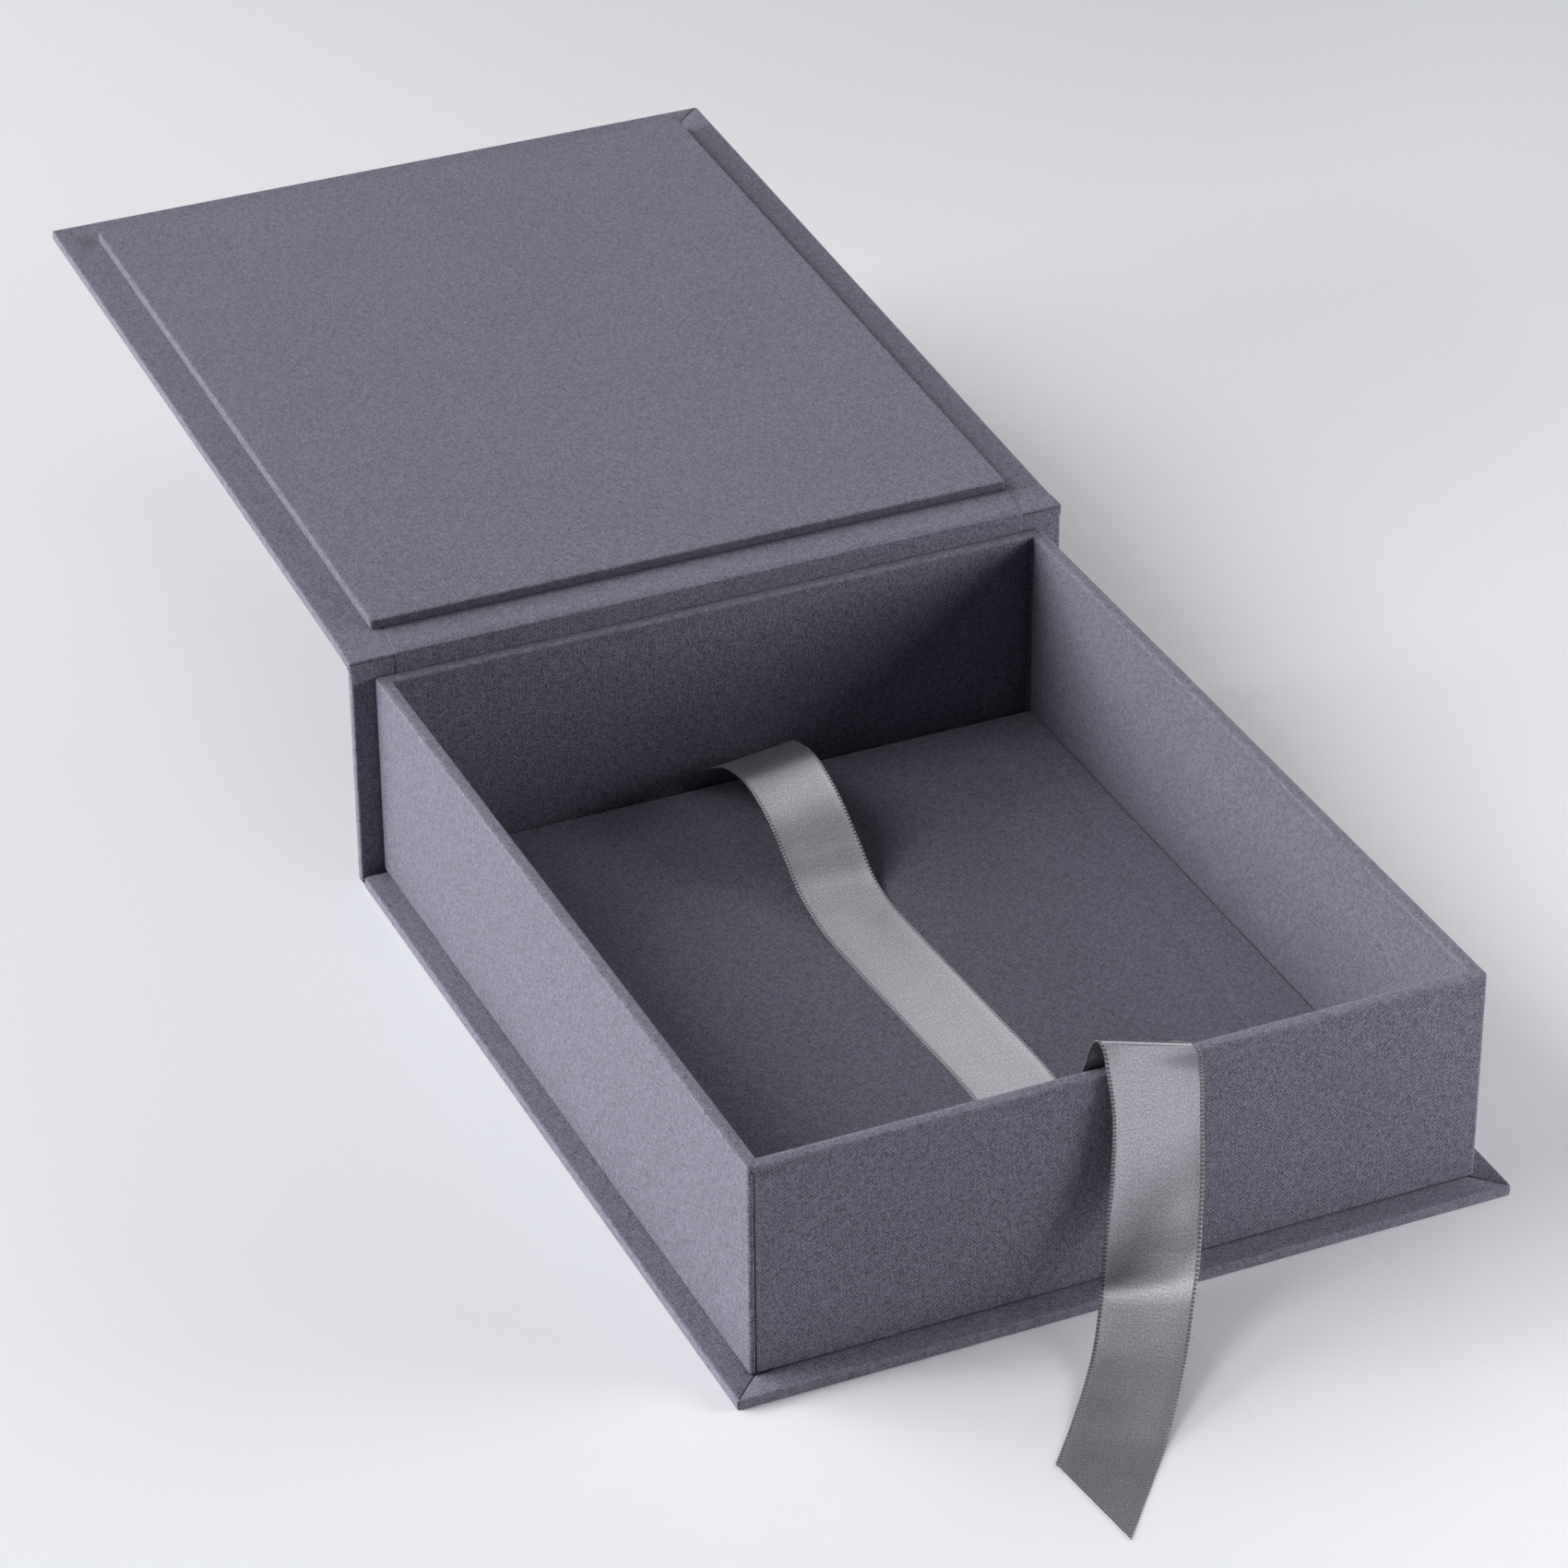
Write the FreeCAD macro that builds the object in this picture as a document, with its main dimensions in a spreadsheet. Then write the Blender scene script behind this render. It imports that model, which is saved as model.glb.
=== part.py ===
import FreeCAD, Part
import math
import os
import Sketcher

# Book-style presentation box, lid laid open: a cloth-covered case of base, spine and lid,
# a tray glued into it, a padded liner inside the lid and a satin ribbon that lifts the contents.
# Millimetres. X to the right, Y to the hinge side, Z up.
# The origin is the middle of the closed box's footprint, on the surface it stands on.

SIZES = [
    # tray, over its cloth
    ("tray_width", 214.0),
    ("tray_depth", 268.0),
    ("tray_height", 65.5),
    ("wall_board", 3.2),
    ("bottom_board", 2.6),
    ("wrap_turn", 15.0),
    # book cloth, and the case's boards
    ("cloth_thick", 0.4),
    ("case_board", 2.4),
    ("side_square", 7.0),
    ("front_square", 8.0),
    ("case_turn", 13.5),
    ("base_back_gap", 2.1),
    # hinge joint
    ("joint_gap", 4.0),
    ("hinge_inset", 1.9),
    ("hinge_skin", 0.3),
    ("lid_gap", 0.35),
    ("lid_lean", 3.17),
    ("joint_cloth_reach", 3.0),
    ("lining_lap", 1.1),
    ("crease_rise", 0.5),
    # padded liner in the lid
    ("pad_board", 2.4),
    ("pad_gap", 0.6),
    ("pad_setback", 8.2),
    ("pad_turn", 15.0),
    ("lining_under_pad", 12.0),
    # card that lines the tray's floor
    ("lining_board", 1.1),
    ("lining_gap", 0.2),
    ("lining_back_gap", 0.5),
    ("lining_turn", 12.0),
    # soft edges
    ("edge_round", 0.5),
    ("pad_round", 1.0),
    # ribbon
    ("ribbon_width", 25.4),
    ("ribbon_thick", 0.3),
    ("ribbon_ease", 0.05),
    ("ribbon_tab", 11.0),
    ("loop_reach", 92.4),
    ("loop_rise", 22.0),
    ("rise_reach", 27.6),
    ("arch_reach", 8.45),
    ("arch_rise", 9.1),
    ("tail_reach", 83.6),
    ("tail_drift", 61.6),
    # how far a cut runs past what it opens
    ("overrun", 1.0),
]

# Loop behind the contents: forward from the back wall, up from the floor lining,
# sideways in ribbon widths, turn of the width in degrees, lift of the right edge in widths.
LOOP_SHARES = [
    (0.009, 0.086, 0.04, 1, 0.0),
    (0.064, 0.450, 0.08, 5, 0.0),
    (0.183, 0.832, 0.13, 9, 0.024),
    (0.260, 0.945, 0.16, 10, 0.03),
    (0.361, 1.000, 0.17, 10, 0.024),
    (0.461, 0.918, 0.18, 9, 0.0),
    (0.556, 0.750, 0.19, 7, -0.04),
    (0.670, 0.445, 0.20, 5, -0.07),
    (0.769, 0.186, 0.20, 3, -0.095),
    (0.876, 0.064, 0.205, 2, -0.07),
    (1.000, 0.022, 0.21, 1, -0.015),
]
# Run along the floor: share of the run, sideways in widths.
RUN_SHARES = [
    (0.14, 0.245),
    (0.40, 0.31),
    (0.64, 0.35),
    (1.00, 0.236),
]
# Rise to the front wall: share of its reach still to go, share of its height, sideways in widths.
RISE_SHARES = [
    (0.800, 0.003, 0.215),
    (0.565, 0.026, 0.19),
    (0.220, 0.120, 0.14),
    (0.060, 0.270, 0.10),
    (0.012, 0.420, 0.08),
    (0.0, 0.600, 0.07),
    (0.0, 0.885, 0.07),
    (0.0, 1.0, 0.07),
]
# Arch over the front wall: outward, upward, sideways in widths, turn in degrees, lift in widths.
ARCH_SHARES = [
    (0.0, 0.0, 0.07, 0, 0.0),
    (0.059, 0.286, 0.098, -4, -0.016),
    (0.320, 0.604, 0.114, -14, -0.047),
    (0.805, 1.0, 0.130, -23, -0.047),
    (0.982, 0.714, 0.189, -22, -0.031),
    (1.0, 0.0, 0.228, -13, 0.0),
]
# Tail: outward, height above the surface, sideways drift, turn in degrees, lift in widths.
TAIL_SHARES = [
    (0.0, 1.0, 0.0, -13, 0.0),
    (0.006, 0.902, -0.011, -9, -0.02),
    (0.017, 0.809, -0.010, -6, -0.04),
    (0.033, 0.691, -0.003, -8, -0.04),
    (0.065, 0.531, 0.020, -13, -0.04),
    (0.102, 0.402, 0.055, -20, 0.0),
    (0.151, 0.274, 0.097, -29, 0.05),
    (0.214, 0.167, 0.156, -38, 0.118),
    (0.350, 0.077, 0.279, -41, 0.138),
    (0.476, 0.035, 0.406, -40, 0.102),
    (0.591, 0.012, 0.529, -39, 0.035),
    (0.707, 0.0, 0.659, -39, 0.0),
    (1.0, 0.0, 1.0, -39, 0.0),
]
# The tail's end is cut slantwise: its left edge is shorter by this share of the width.
END_CUT_SHARE = 1.0
CURVE_STEPS = 3

doc = FreeCAD.newDocument("presentation_box")
sheet = doc.addObject("Spreadsheet::Sheet", "Sizes")
for row, (alias, value) in enumerate(SIZES, start=1):
    sheet.set(f"A{row}", alias)
    sheet.set(f"B{row}", str(value))
    sheet.setAlias(f"B{row}", alias)
doc.recompute()

# Levels and places, each worked out from the driving sizes.
CLOTH = "Sizes.cloth_thick"
CASE = "(Sizes.case_board + 2 * Sizes.cloth_thick)"
WALL = "(Sizes.wall_board + 2 * Sizes.cloth_thick)"
HALF_TRAY = "(Sizes.tray_width / 2)"
HALF_CASE = f"({HALF_TRAY} + Sizes.side_square)"
HALF_INNER = f"({HALF_TRAY} - {WALL})"
CASE_FRONT = f"(-(Sizes.tray_depth + Sizes.front_square + {CASE}) / 2)"
CASE_BACK = f"(-{CASE_FRONT})"
TRAY_FRONT = f"({CASE_FRONT} + Sizes.front_square)"
TRAY_BACK = f"({TRAY_FRONT} + Sizes.tray_depth)"
INNER_FRONT = f"({TRAY_FRONT} + {WALL})"
INNER_BACK = f"({TRAY_BACK} - {WALL})"
BASE_BACK = f"({TRAY_BACK} - Sizes.base_back_gap)"
WALL_TOP = f"({CASE} + Sizes.tray_height)"
BOTTOM_TOP = f"({CASE} + {CLOTH} + Sizes.bottom_board)"
FLOOR_TOP = f"({BOTTOM_TOP} + Sizes.lining_board + 2 * {CLOTH})"
HINGE_Y = f"({CASE_BACK} - Sizes.hinge_inset)"
HINGE_Z = f"({WALL_TOP} + Sizes.lid_gap + {CASE} - Sizes.hinge_skin)"
SPINE_TOP = f"({HINGE_Z} + Sizes.hinge_skin)"
HALF_LINING = f"({HALF_CASE} - Sizes.case_turn)"
# Along the lid, measured from the hinge axis; up from the axis, square to the lid.
LID_NEAR = f"({HINGE_Y} - {TRAY_BACK} + Sizes.joint_gap)"
LID_FAR = f"({HINGE_Y} - {CASE_FRONT})"
LID_OUTER = "(-Sizes.hinge_skin)"
LID_INNER = f"({LID_OUTER} + {CASE})"
PAD_NEAR = f"({LID_NEAR} + Sizes.pad_setback)"
PAD_FAR = f"({HINGE_Y} - {INNER_FRONT} - Sizes.pad_gap)"
HALF_PAD = f"({HALF_INNER} - Sizes.pad_gap)"
PAD_THICK = f"(Sizes.pad_board + 2 * {CLOTH})"


def number(formula):
    return float(sheet.evalExpression(formula))


def origin_plane(body):
    for feature in body.Origin.OriginFeatures:
        if feature.Role == "XY_Plane":
            return feature
    raise RuntimeError("no XY plane in " + body.Label)


def new_body(label):
    return doc.addObject("PartDesign::Body", label)


def add_rectangle(sketch, left, right, front, back):
    first = sketch.GeometryCount
    corners = [(number(left), number(front)), (number(right), number(front)),
               (number(right), number(back)), (number(left), number(back))]
    for side in range(4):
        start = FreeCAD.Vector(*corners[side], 0)
        end = FreeCAD.Vector(*corners[(side + 1) % 4], 0)
        sketch.addGeometry(Part.LineSegment(start, end))
    for side in range(4):
        after = first + (side + 1) % 4
        sketch.addConstraint(Sketcher.Constraint("Coincident", first + side, 2, after, 1))
        kind = "Horizontal" if side % 2 == 0 else "Vertical"
        sketch.addConstraint(Sketcher.Constraint(kind, first + side))
    places = [("DistanceX", 0, left), ("DistanceY", 0, front), ("DistanceX", 2, right), ("DistanceY", 2, back)]
    for kind, side, formula in places:
        index = sketch.addConstraint(Sketcher.Constraint(kind, -1, 1, first + side, 1, number(formula)))
        sketch.setExpression(f"Constraints[{index}]", formula)


def plan(body, name, level, *rectangles):
    """Sketch of one or more rectangles, level above the body's own XY plane."""
    sketch = body.newObject("Sketcher::SketchObject", name)
    sketch.AttachmentSupport = [(origin_plane(body), "")]
    sketch.MapMode = "FlatFace"
    sketch.setExpression(".AttachmentOffset.Base.z", level)
    for rectangle in rectangles:
        add_rectangle(sketch, *rectangle)
    return sketch


def pad(body, name, low, high, *rectangles):
    sketch = plan(body, name + "_plan", low, *rectangles)
    feature = body.newObject("PartDesign::Pad", name)
    feature.Profile = sketch
    feature.setExpression("Length", f"{high} - {low}")
    doc.recompute()
    return feature


def pocket(body, name, low, high, *rectangles):
    """Cut from high down to low, and make sure that it took something away."""
    before = body.Shape.Volume
    sketch = plan(body, name + "_plan", high, *rectangles)
    feature = body.newObject("PartDesign::Pocket", name)
    feature.Profile = sketch
    feature.setExpression("Length", f"{high} - {low}")
    doc.recompute()
    if not body.Shape.Volume < before:
        raise RuntimeError(f"{body.Label}: {name} cut nothing")
    return feature


def round_edges(body, name, alias, wanted):
    tip = body.Tip
    names = []
    for index, edge in enumerate(tip.Shape.Edges, start=1):
        if wanted(edge.BoundBox):
            names.append(f"Edge{index}")
    feature = body.newObject("PartDesign::Fillet", name)
    feature.Base = (tip, names)
    feature.setExpression("Radius", f"Sizes.{alias}")
    doc.recompute()
    return feature


NEAR_ENOUGH = 1e-4


def flat_at(low, high, value):
    return abs(low - value) < NEAR_ENOUGH and abs(high - value) < NEAR_ENOUGH


def on_outline(box, left, right, front, back):
    """True for an edge that lies in one of the four upright outer planes."""
    across = flat_at(box.XMin, box.XMax, left) or flat_at(box.XMin, box.XMax, right)
    along = flat_at(box.YMin, box.YMax, front) or flat_at(box.YMin, box.YMax, back)
    return across or along


def lay_on_lid(body):
    """Put a body drawn in the lid's own frame at the hinge axis, leaning as the open lid does."""
    body.Placement = FreeCAD.Placement(
        FreeCAD.Vector(0, number(HINGE_Y), number(HINGE_Z)),
        FreeCAD.Rotation(FreeCAD.Vector(1, 0, 0), number("Sizes.lid_lean")))
    body.setExpression(".Placement.Base.y", HINGE_Y)
    body.setExpression(".Placement.Base.z", HINGE_Z)
    body.setExpression(".Placement.Rotation.Angle", "Sizes.lid_lean")


def both(half):
    return f"(-{half})", half


def make_board(label, low, high, left, right, front, back):
    body = new_body(label)
    pad(body, label + "_sheet", low, high, (left, right, front, back))
    return body


def make_base():
    left, right = both(f"({HALF_CASE} - {CLOTH})")
    top = f"({CASE} - {CLOTH})"
    inner_front = f"({CASE_FRONT} + {CLOTH})"
    make_board("base_board", CLOTH, top, left, right, inner_front, BASE_BACK)
    body = new_body("base_cover_cloth")
    outer = (*both(HALF_CASE), CASE_FRONT, BASE_BACK)
    pad(body, "base_envelope", "0", CASE, outer)
    pad(body, "base_joint", "0", CLOTH, (*both(HALF_CASE), BASE_BACK, TRAY_BACK))
    past = f"({BASE_BACK} + Sizes.overrun)"
    pocket(body, "base_board_room", CLOTH, top, (left, right, inner_front, past))
    window_front = f"({CASE_FRONT} + Sizes.case_turn)"
    window = (*both(HALF_LINING), window_front, past)
    pocket(body, "base_turn_in_window", top, CASE, window)
    case = number(CASE)
    half, front, back = number(HALF_CASE), number(CASE_FRONT), number(BASE_BACK)

    def outer_edge(box):
        level = flat_at(box.ZMin, box.ZMax, 0) or flat_at(box.ZMin, box.ZMax, case)
        sides = flat_at(box.XMin, box.XMax, -half) or flat_at(box.XMin, box.XMax, half)
        in_front = flat_at(box.YMin, box.YMax, front)
        return level and (sides or in_front) and box.YMax < back + NEAR_ENOUGH

    round_edges(body, "base_soft_edges", "edge_round", outer_edge)


def make_spine():
    left, right = both(f"({HALF_CASE} - {CLOTH})")
    front = f"({TRAY_BACK} + {CLOTH})"
    back = f"({CASE_BACK} - {CLOTH})"
    top = f"({SPINE_TOP} - {CLOTH})"
    make_board("spine_board", CLOTH, top, left, right, front, back)
    body = new_body("spine_cover_cloth")
    pad(body, "spine_envelope", "0", SPINE_TOP, (*both(HALF_CASE), TRAY_BACK, CASE_BACK))
    pocket(body, "spine_board_room", CLOTH, top, (left, right, front, back))
    past = f"({TRAY_BACK} - Sizes.overrun)"
    above = f"({SPINE_TOP} + Sizes.overrun)"
    pocket(body, "spine_lining_window", CLOTH, above, (*both(HALF_LINING), past, front))
    half, outer, spine_top = number(HALF_CASE), number(CASE_BACK), number(SPINE_TOP)

    def outer_edge(box):
        upright = flat_at(box.YMin, box.YMax, outer) and box.ZMax - box.ZMin > spine_top / 2
        side = flat_at(box.XMin, box.XMax, -half) or flat_at(box.XMin, box.XMax, half)
        return upright and side

    round_edges(body, "spine_soft_edges", "edge_round", outer_edge)
    make_board("hinge_lining_spine", CASE, SPINE_TOP, *both(HALF_LINING), TRAY_BACK, front)


def make_lid():
    left, right = both(f"({HALF_CASE} - {CLOTH})")
    low = f"({LID_OUTER} + {CLOTH})"
    high = f"({LID_INNER} - {CLOTH})"
    far = f"({LID_FAR} - {CLOTH})"
    lay_on_lid(make_board("lid_board", low, high, left, right, LID_NEAR, far))
    body = new_body("lid_cover_cloth")
    pad(body, "lid_envelope", LID_OUTER, LID_INNER, (*both(HALF_CASE), LID_NEAR, LID_FAR))
    past = f"({LID_NEAR} - Sizes.overrun)"
    pocket(body, "lid_board_room", low, high, (left, right, past, far))
    window_far = f"({LID_FAR} - Sizes.case_turn)"
    pocket(body, "lid_turn_in_window", high, LID_INNER, (*both(HALF_LINING), past, window_far))
    half, lid_far, near = number(HALF_CASE), number(LID_FAR), number(LID_NEAR)
    outer_level, inner_level = number(LID_OUTER), number(LID_INNER)

    def outer_edge(box):
        level = flat_at(box.ZMin, box.ZMax, outer_level) or flat_at(box.ZMin, box.ZMax, inner_level)
        return level and on_outline(box, -half, half, lid_far, lid_far) and box.YMax > near + NEAR_ENOUGH

    round_edges(body, "lid_soft_edges", "edge_round", outer_edge)
    lay_on_lid(body)
    make_joint_cloths(low, high)


def make_joint_cloths(low, high):
    """Cloth that bridges the joint under the lid, and the lining that runs on under the pad."""
    inside = f"({LID_NEAR} - Sizes.joint_cloth_reach)"
    lay_on_lid(make_board("hinge_joint_cloth", LID_OUTER, low, *both(HALF_CASE), inside, LID_NEAR))
    start = f"({LID_NEAR} - Sizes.lining_lap)"
    end = f"({PAD_NEAR} + Sizes.lining_under_pad)"
    lay_on_lid(make_board("hinge_lining_lid", high, LID_INNER, *both(HALF_LINING), start, end))
    make_fold()


def lid_point(along, up):
    """Place on the open lid, in the box's own frame, as (y, z)."""
    lean = math.radians(number("Sizes.lid_lean"))
    y = number(HINGE_Y) + along * math.cos(lean) - up * math.sin(lean)
    z = number(HINGE_Z) + along * math.sin(lean) + up * math.cos(lean)
    return y, z


def make_fold():
    """Lining that climbs off the spine's top and bends over onto the open lid."""
    cloth = number(CLOTH)
    inner = number(TRAY_BACK)
    top = number(SPINE_TOP)
    start = number(LID_NEAR) - number("Sizes.lining_lap")
    lid_inner = number(LID_INNER)
    outer_end = lid_point(start, lid_inner)
    inner_end = lid_point(start, lid_inner - cloth)
    crease = lid_point(inner - number(HINGE_Y), lid_inner)[1] + number("Sizes.crease_rise")
    outline = [(inner, top), (inner, crease - cloth), (inner + cloth, crease), outer_end,
               inner_end, (inner + 2 * cloth, crease - cloth), (inner + cloth, crease - 2 * cloth),
               (inner + cloth, top)]
    half = number(HALF_LINING)
    points = [FreeCAD.Vector(-half, y, z) for y, z in outline + outline[:1]]
    face = Part.Face(Part.makePolygon(points))
    feature = doc.addObject("Part::Feature", "hinge_lining_fold")
    feature.Shape = face.extrude(FreeCAD.Vector(2 * half, 0, 0))


def make_lid_pad():
    left, right = both(f"({HALF_PAD} - {CLOTH})")
    near = f"({PAD_NEAR} + {CLOTH})"
    far = f"({PAD_FAR} - {CLOTH})"
    low = f"({LID_INNER} + {CLOTH})"
    high = f"({LID_INNER} + {PAD_THICK} - {CLOTH})"
    pad_top = f"({LID_INNER} + {PAD_THICK})"
    lay_on_lid(make_board("lid_pad_board", low, high, left, right, near, far))
    body = new_body("lid_pad_cloth")
    pad(body, "pad_envelope", LID_INNER, pad_top, (*both(HALF_PAD), PAD_NEAR, PAD_FAR))
    pocket(body, "pad_board_room", low, high, (left, right, near, far))
    window = (*both(f"({HALF_PAD} - Sizes.pad_turn)"),
              f"({PAD_NEAR} + Sizes.pad_turn)", f"({PAD_FAR} - Sizes.pad_turn)")
    pocket(body, "pad_turn_in_window", LID_INNER, low, window)
    level, half = number(pad_top), number(HALF_PAD)
    near_value, far_value = number(PAD_NEAR), number(PAD_FAR)

    def soft(box):
        on_top = flat_at(box.ZMin, box.ZMax, level)
        return on_top and on_outline(box, -half, half, near_value, far_value)

    round_edges(body, "pad_soft_edges", "pad_round", soft)
    lay_on_lid(body)


def make_tray():
    low = f"({CASE} + {CLOTH})"
    top = f"({WALL_TOP} - {CLOTH})"
    board_half = f"({HALF_TRAY} - {CLOTH})"
    room_half = f"({HALF_INNER} + {CLOTH})"
    front_face = f"({TRAY_FRONT} + {CLOTH})"
    back_face = f"({TRAY_BACK} - {CLOTH})"
    room_front = f"({INNER_FRONT} - {CLOTH})"
    room_back = f"({INNER_BACK} + {CLOTH})"
    make_board("tray_front_board", low, top, *both(board_half), front_face, room_front)
    make_board("tray_back_board", low, top, *both(board_half), room_back, back_face)
    make_board("tray_left_board", low, top, f"(-{board_half})", f"(-{room_half})", room_front, room_back)
    make_board("tray_right_board", low, top, room_half, board_half, room_front, room_back)
    make_board("tray_bottom_board", low, BOTTOM_TOP, *both(room_half), room_front, room_back)
    body = new_body("tray_wrap_cloth")
    outer = (*both(HALF_TRAY), TRAY_FRONT, TRAY_BACK)
    inner = (*both(HALF_INNER), INNER_FRONT, INNER_BACK)
    pad(body, "wrap_envelope", CASE, WALL_TOP, outer, inner)
    turned = (*both(f"({HALF_TRAY} - Sizes.wrap_turn)"),
              f"({TRAY_FRONT} + Sizes.wrap_turn)", f"({TRAY_BACK} - Sizes.wrap_turn)")
    pad(body, "wrap_turn_under", CASE, low, outer, turned)
    boards = (*both(board_half), front_face, back_face)
    room = (*both(room_half), room_front, room_back)
    pocket(body, "wall_board_room", low, top, boards, room)
    pocket(body, "bottom_board_room", low, BOTTOM_TOP, room)
    round_tray(body)


def round_tray(body):
    level, base = number(WALL_TOP), number(CASE)
    half, front, back = number(HALF_TRAY), number(TRAY_FRONT), number(TRAY_BACK)

    def soft(box):
        on_top = flat_at(box.ZMin, box.ZMax, level)
        at_side = flat_at(box.XMin, box.XMax, -half) or flat_at(box.XMin, box.XMax, half)
        at_end = flat_at(box.YMin, box.YMax, front) or flat_at(box.YMin, box.YMax, back)
        upright = at_side and at_end and box.ZMax - box.ZMin > (level - base) / 2
        return on_top or upright

    round_edges(body, "wrap_soft_edges", "edge_round", soft)


def make_floor_lining():
    low = f"({BOTTOM_TOP} + {CLOTH})"
    top = f"({FLOOR_TOP} - {CLOTH})"
    half = f"({HALF_INNER} - Sizes.lining_gap)"
    front = f"({INNER_FRONT} + Sizes.lining_gap)"
    back = f"({INNER_BACK} - Sizes.lining_back_gap)"
    left, right = both(f"({half} - {CLOTH})")
    board_front = f"({front} + {CLOTH})"
    board_back = f"({back} - {CLOTH})"
    make_board("floor_lining_board", low, top, left, right, board_front, board_back)
    body = new_body("floor_lining_cloth")
    pad(body, "lining_envelope", BOTTOM_TOP, FLOOR_TOP, (*both(half), front, back))
    pocket(body, "lining_board_room", low, top, (left, right, board_front, board_back))
    window = (*both(f"({half} - Sizes.lining_turn)"),
              f"({front} + Sizes.lining_turn)", f"({back} - Sizes.lining_turn)")
    pocket(body, "lining_turn_in_window", BOTTOM_TOP, low, window)
    side = f"({LOOP_SHARES[0][2]} * Sizes.ribbon_width)"
    notch_half = "(Sizes.ribbon_width / 2 + Sizes.lining_gap)"
    notch = (f"({side} - {notch_half})", f"({side} + {notch_half})",
             f"({back} - Sizes.lining_turn - Sizes.overrun)", f"({back} + Sizes.overrun)")
    pocket(body, "ribbon_notch", BOTTOM_TOP, low, notch)


def station(x, y, z, turn, lift_share):
    """Middle of the ribbon, and the unit vector across it towards its right edge."""
    level = math.sqrt(1 - lift_share ** 2)
    angle = math.radians(turn)
    across = FreeCAD.Vector(math.cos(angle) * level, math.sin(angle) * level, lift_share)
    return FreeCAD.Vector(x, y, z), across


def between(rows, steps):
    """Rows of numbers with Catmull-Rom rows put in between."""
    out = []
    for index in range(len(rows) - 1):
        before = rows[max(index - 1, 0)]
        start = rows[index]
        end = rows[index + 1]
        after = rows[min(index + 2, len(rows) - 1)]
        for step in range(steps):
            t = step / steps
            point = []
            for a, b, c, d in zip(before, start, end, after):
                value = 2 * b + (c - a) * t + (2 * a - 5 * b + 4 * c - d) * t ** 2
                point.append((value + (3 * b - a - 3 * c + d) * t ** 3) / 2)
            out.append(tuple(point))
    out.append(rows[-1])
    return out


def section(middle, across, tangent, stretch):
    width = number("Sizes.ribbon_width")
    thick = number("Sizes.ribbon_thick")
    normal = across.cross(tangent).normalize() * (thick / 2 * stretch)
    side = across * (width / 2)
    corners = [middle - side - normal, middle + side - normal, middle + side + normal, middle - side + normal]
    return corners


def loft(label, sections):
    wires = [Part.makePolygon(corners + corners[:1]) for corners in sections]
    solid = Part.makeLoft(wires, True, True)
    if solid.Volume < 0:
        solid.reverse()
    feature = doc.addObject("Part::Feature", label)
    feature.Shape = solid
    return feature


def ribbon_sections(rows, first, last):
    """Sections square to the path; first and last are the path's directions at its two ends."""
    stations = [station(*row) for row in rows]
    sections = []
    length = 0.0
    for index, (middle, across) in enumerate(stations):
        if index == 0:
            tangent, stretch = first, 1.0
        elif index == len(stations) - 1:
            tangent, stretch = last, 1.0
        else:
            back = (middle - stations[index - 1][0]).normalize()
            ahead = (stations[index + 1][0] - middle).normalize()
            tangent = (back + ahead).normalize()
            stretch = 1 / tangent.dot(ahead)
        if index:
            length += (middle - stations[index - 1][0]).Length
        sections.append(section(middle, across, tangent, stretch))
    return sections, length


UP = FreeCAD.Vector(0, 0, 1)
BACKWARD = FreeCAD.Vector(0, 1, 0)


def loop_rows():
    width = number("Sizes.ribbon_width")
    reach, rise = number("Sizes.loop_reach"), number("Sizes.loop_rise")
    back, floor = number(INNER_BACK), number(FLOOR_TOP)
    rows = []
    for forward, up, side, turn, lift in LOOP_SHARES:
        rows.append((side * width, back - forward * reach, floor + up * rise, turn, lift))
    return rows


def tab_rows():
    """Glued under the lining card, then up through the gap behind it."""
    thick, ease = number("Sizes.ribbon_thick"), number("Sizes.ribbon_ease")
    x = LOOP_SHARES[0][2] * number("Sizes.ribbon_width")
    y = number(INNER_BACK) - thick / 2 - ease
    z = number(BOTTOM_TOP) + thick / 2
    return [(x, y - number("Sizes.ribbon_tab"), z, 0, 0.0), (x, y, z, 0, 0.0), (x, y, number(FLOOR_TOP), 0, 0.0)]


def run_rows():
    width, thick = number("Sizes.ribbon_width"), number("Sizes.ribbon_thick")
    resting = number(FLOOR_TOP) + thick / 2 + number("Sizes.ribbon_ease")
    last_loop = loop_rows()[-1]
    leave = number(INNER_FRONT) + number("Sizes.rise_reach")
    wall = number(INNER_FRONT) + thick / 2 + number("Sizes.ribbon_ease")
    rows = [last_loop]
    for share, side in RUN_SHARES:
        rows.append((side * width, last_loop[1] + (leave - last_loop[1]) * share, resting, 0, 0.0))
    for inward, up, side in RISE_SHARES:
        height = resting + (number(WALL_TOP) - resting) * up
        rows.append((side * width, wall + (leave - wall) * inward, height, 0, 0.0))
    return rows


def arch_rows():
    width, thick = number("Sizes.ribbon_width"), number("Sizes.ribbon_thick")
    wall, top = number(INNER_FRONT) + thick / 2 + number("Sizes.ribbon_ease"), number(WALL_TOP)
    reach, rise = number("Sizes.arch_reach"), number("Sizes.arch_rise")
    rows = []
    for out, up, side, turn, lift in ARCH_SHARES:
        rows.append((side * width, wall - out * reach, top + up * rise, turn, lift))
    return rows


def tail_rows():
    x, y, top, turn, lift = arch_rows()[-1]
    reach, drift = number("Sizes.tail_reach"), number("Sizes.tail_drift")
    resting = number("Sizes.ribbon_thick") / 2
    rows = []
    for out, up, aside, turn, lift in TAIL_SHARES:
        rows.append((x - aside * drift, y - out * reach, resting + (top - resting) * up, turn, lift))
    return rows


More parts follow.
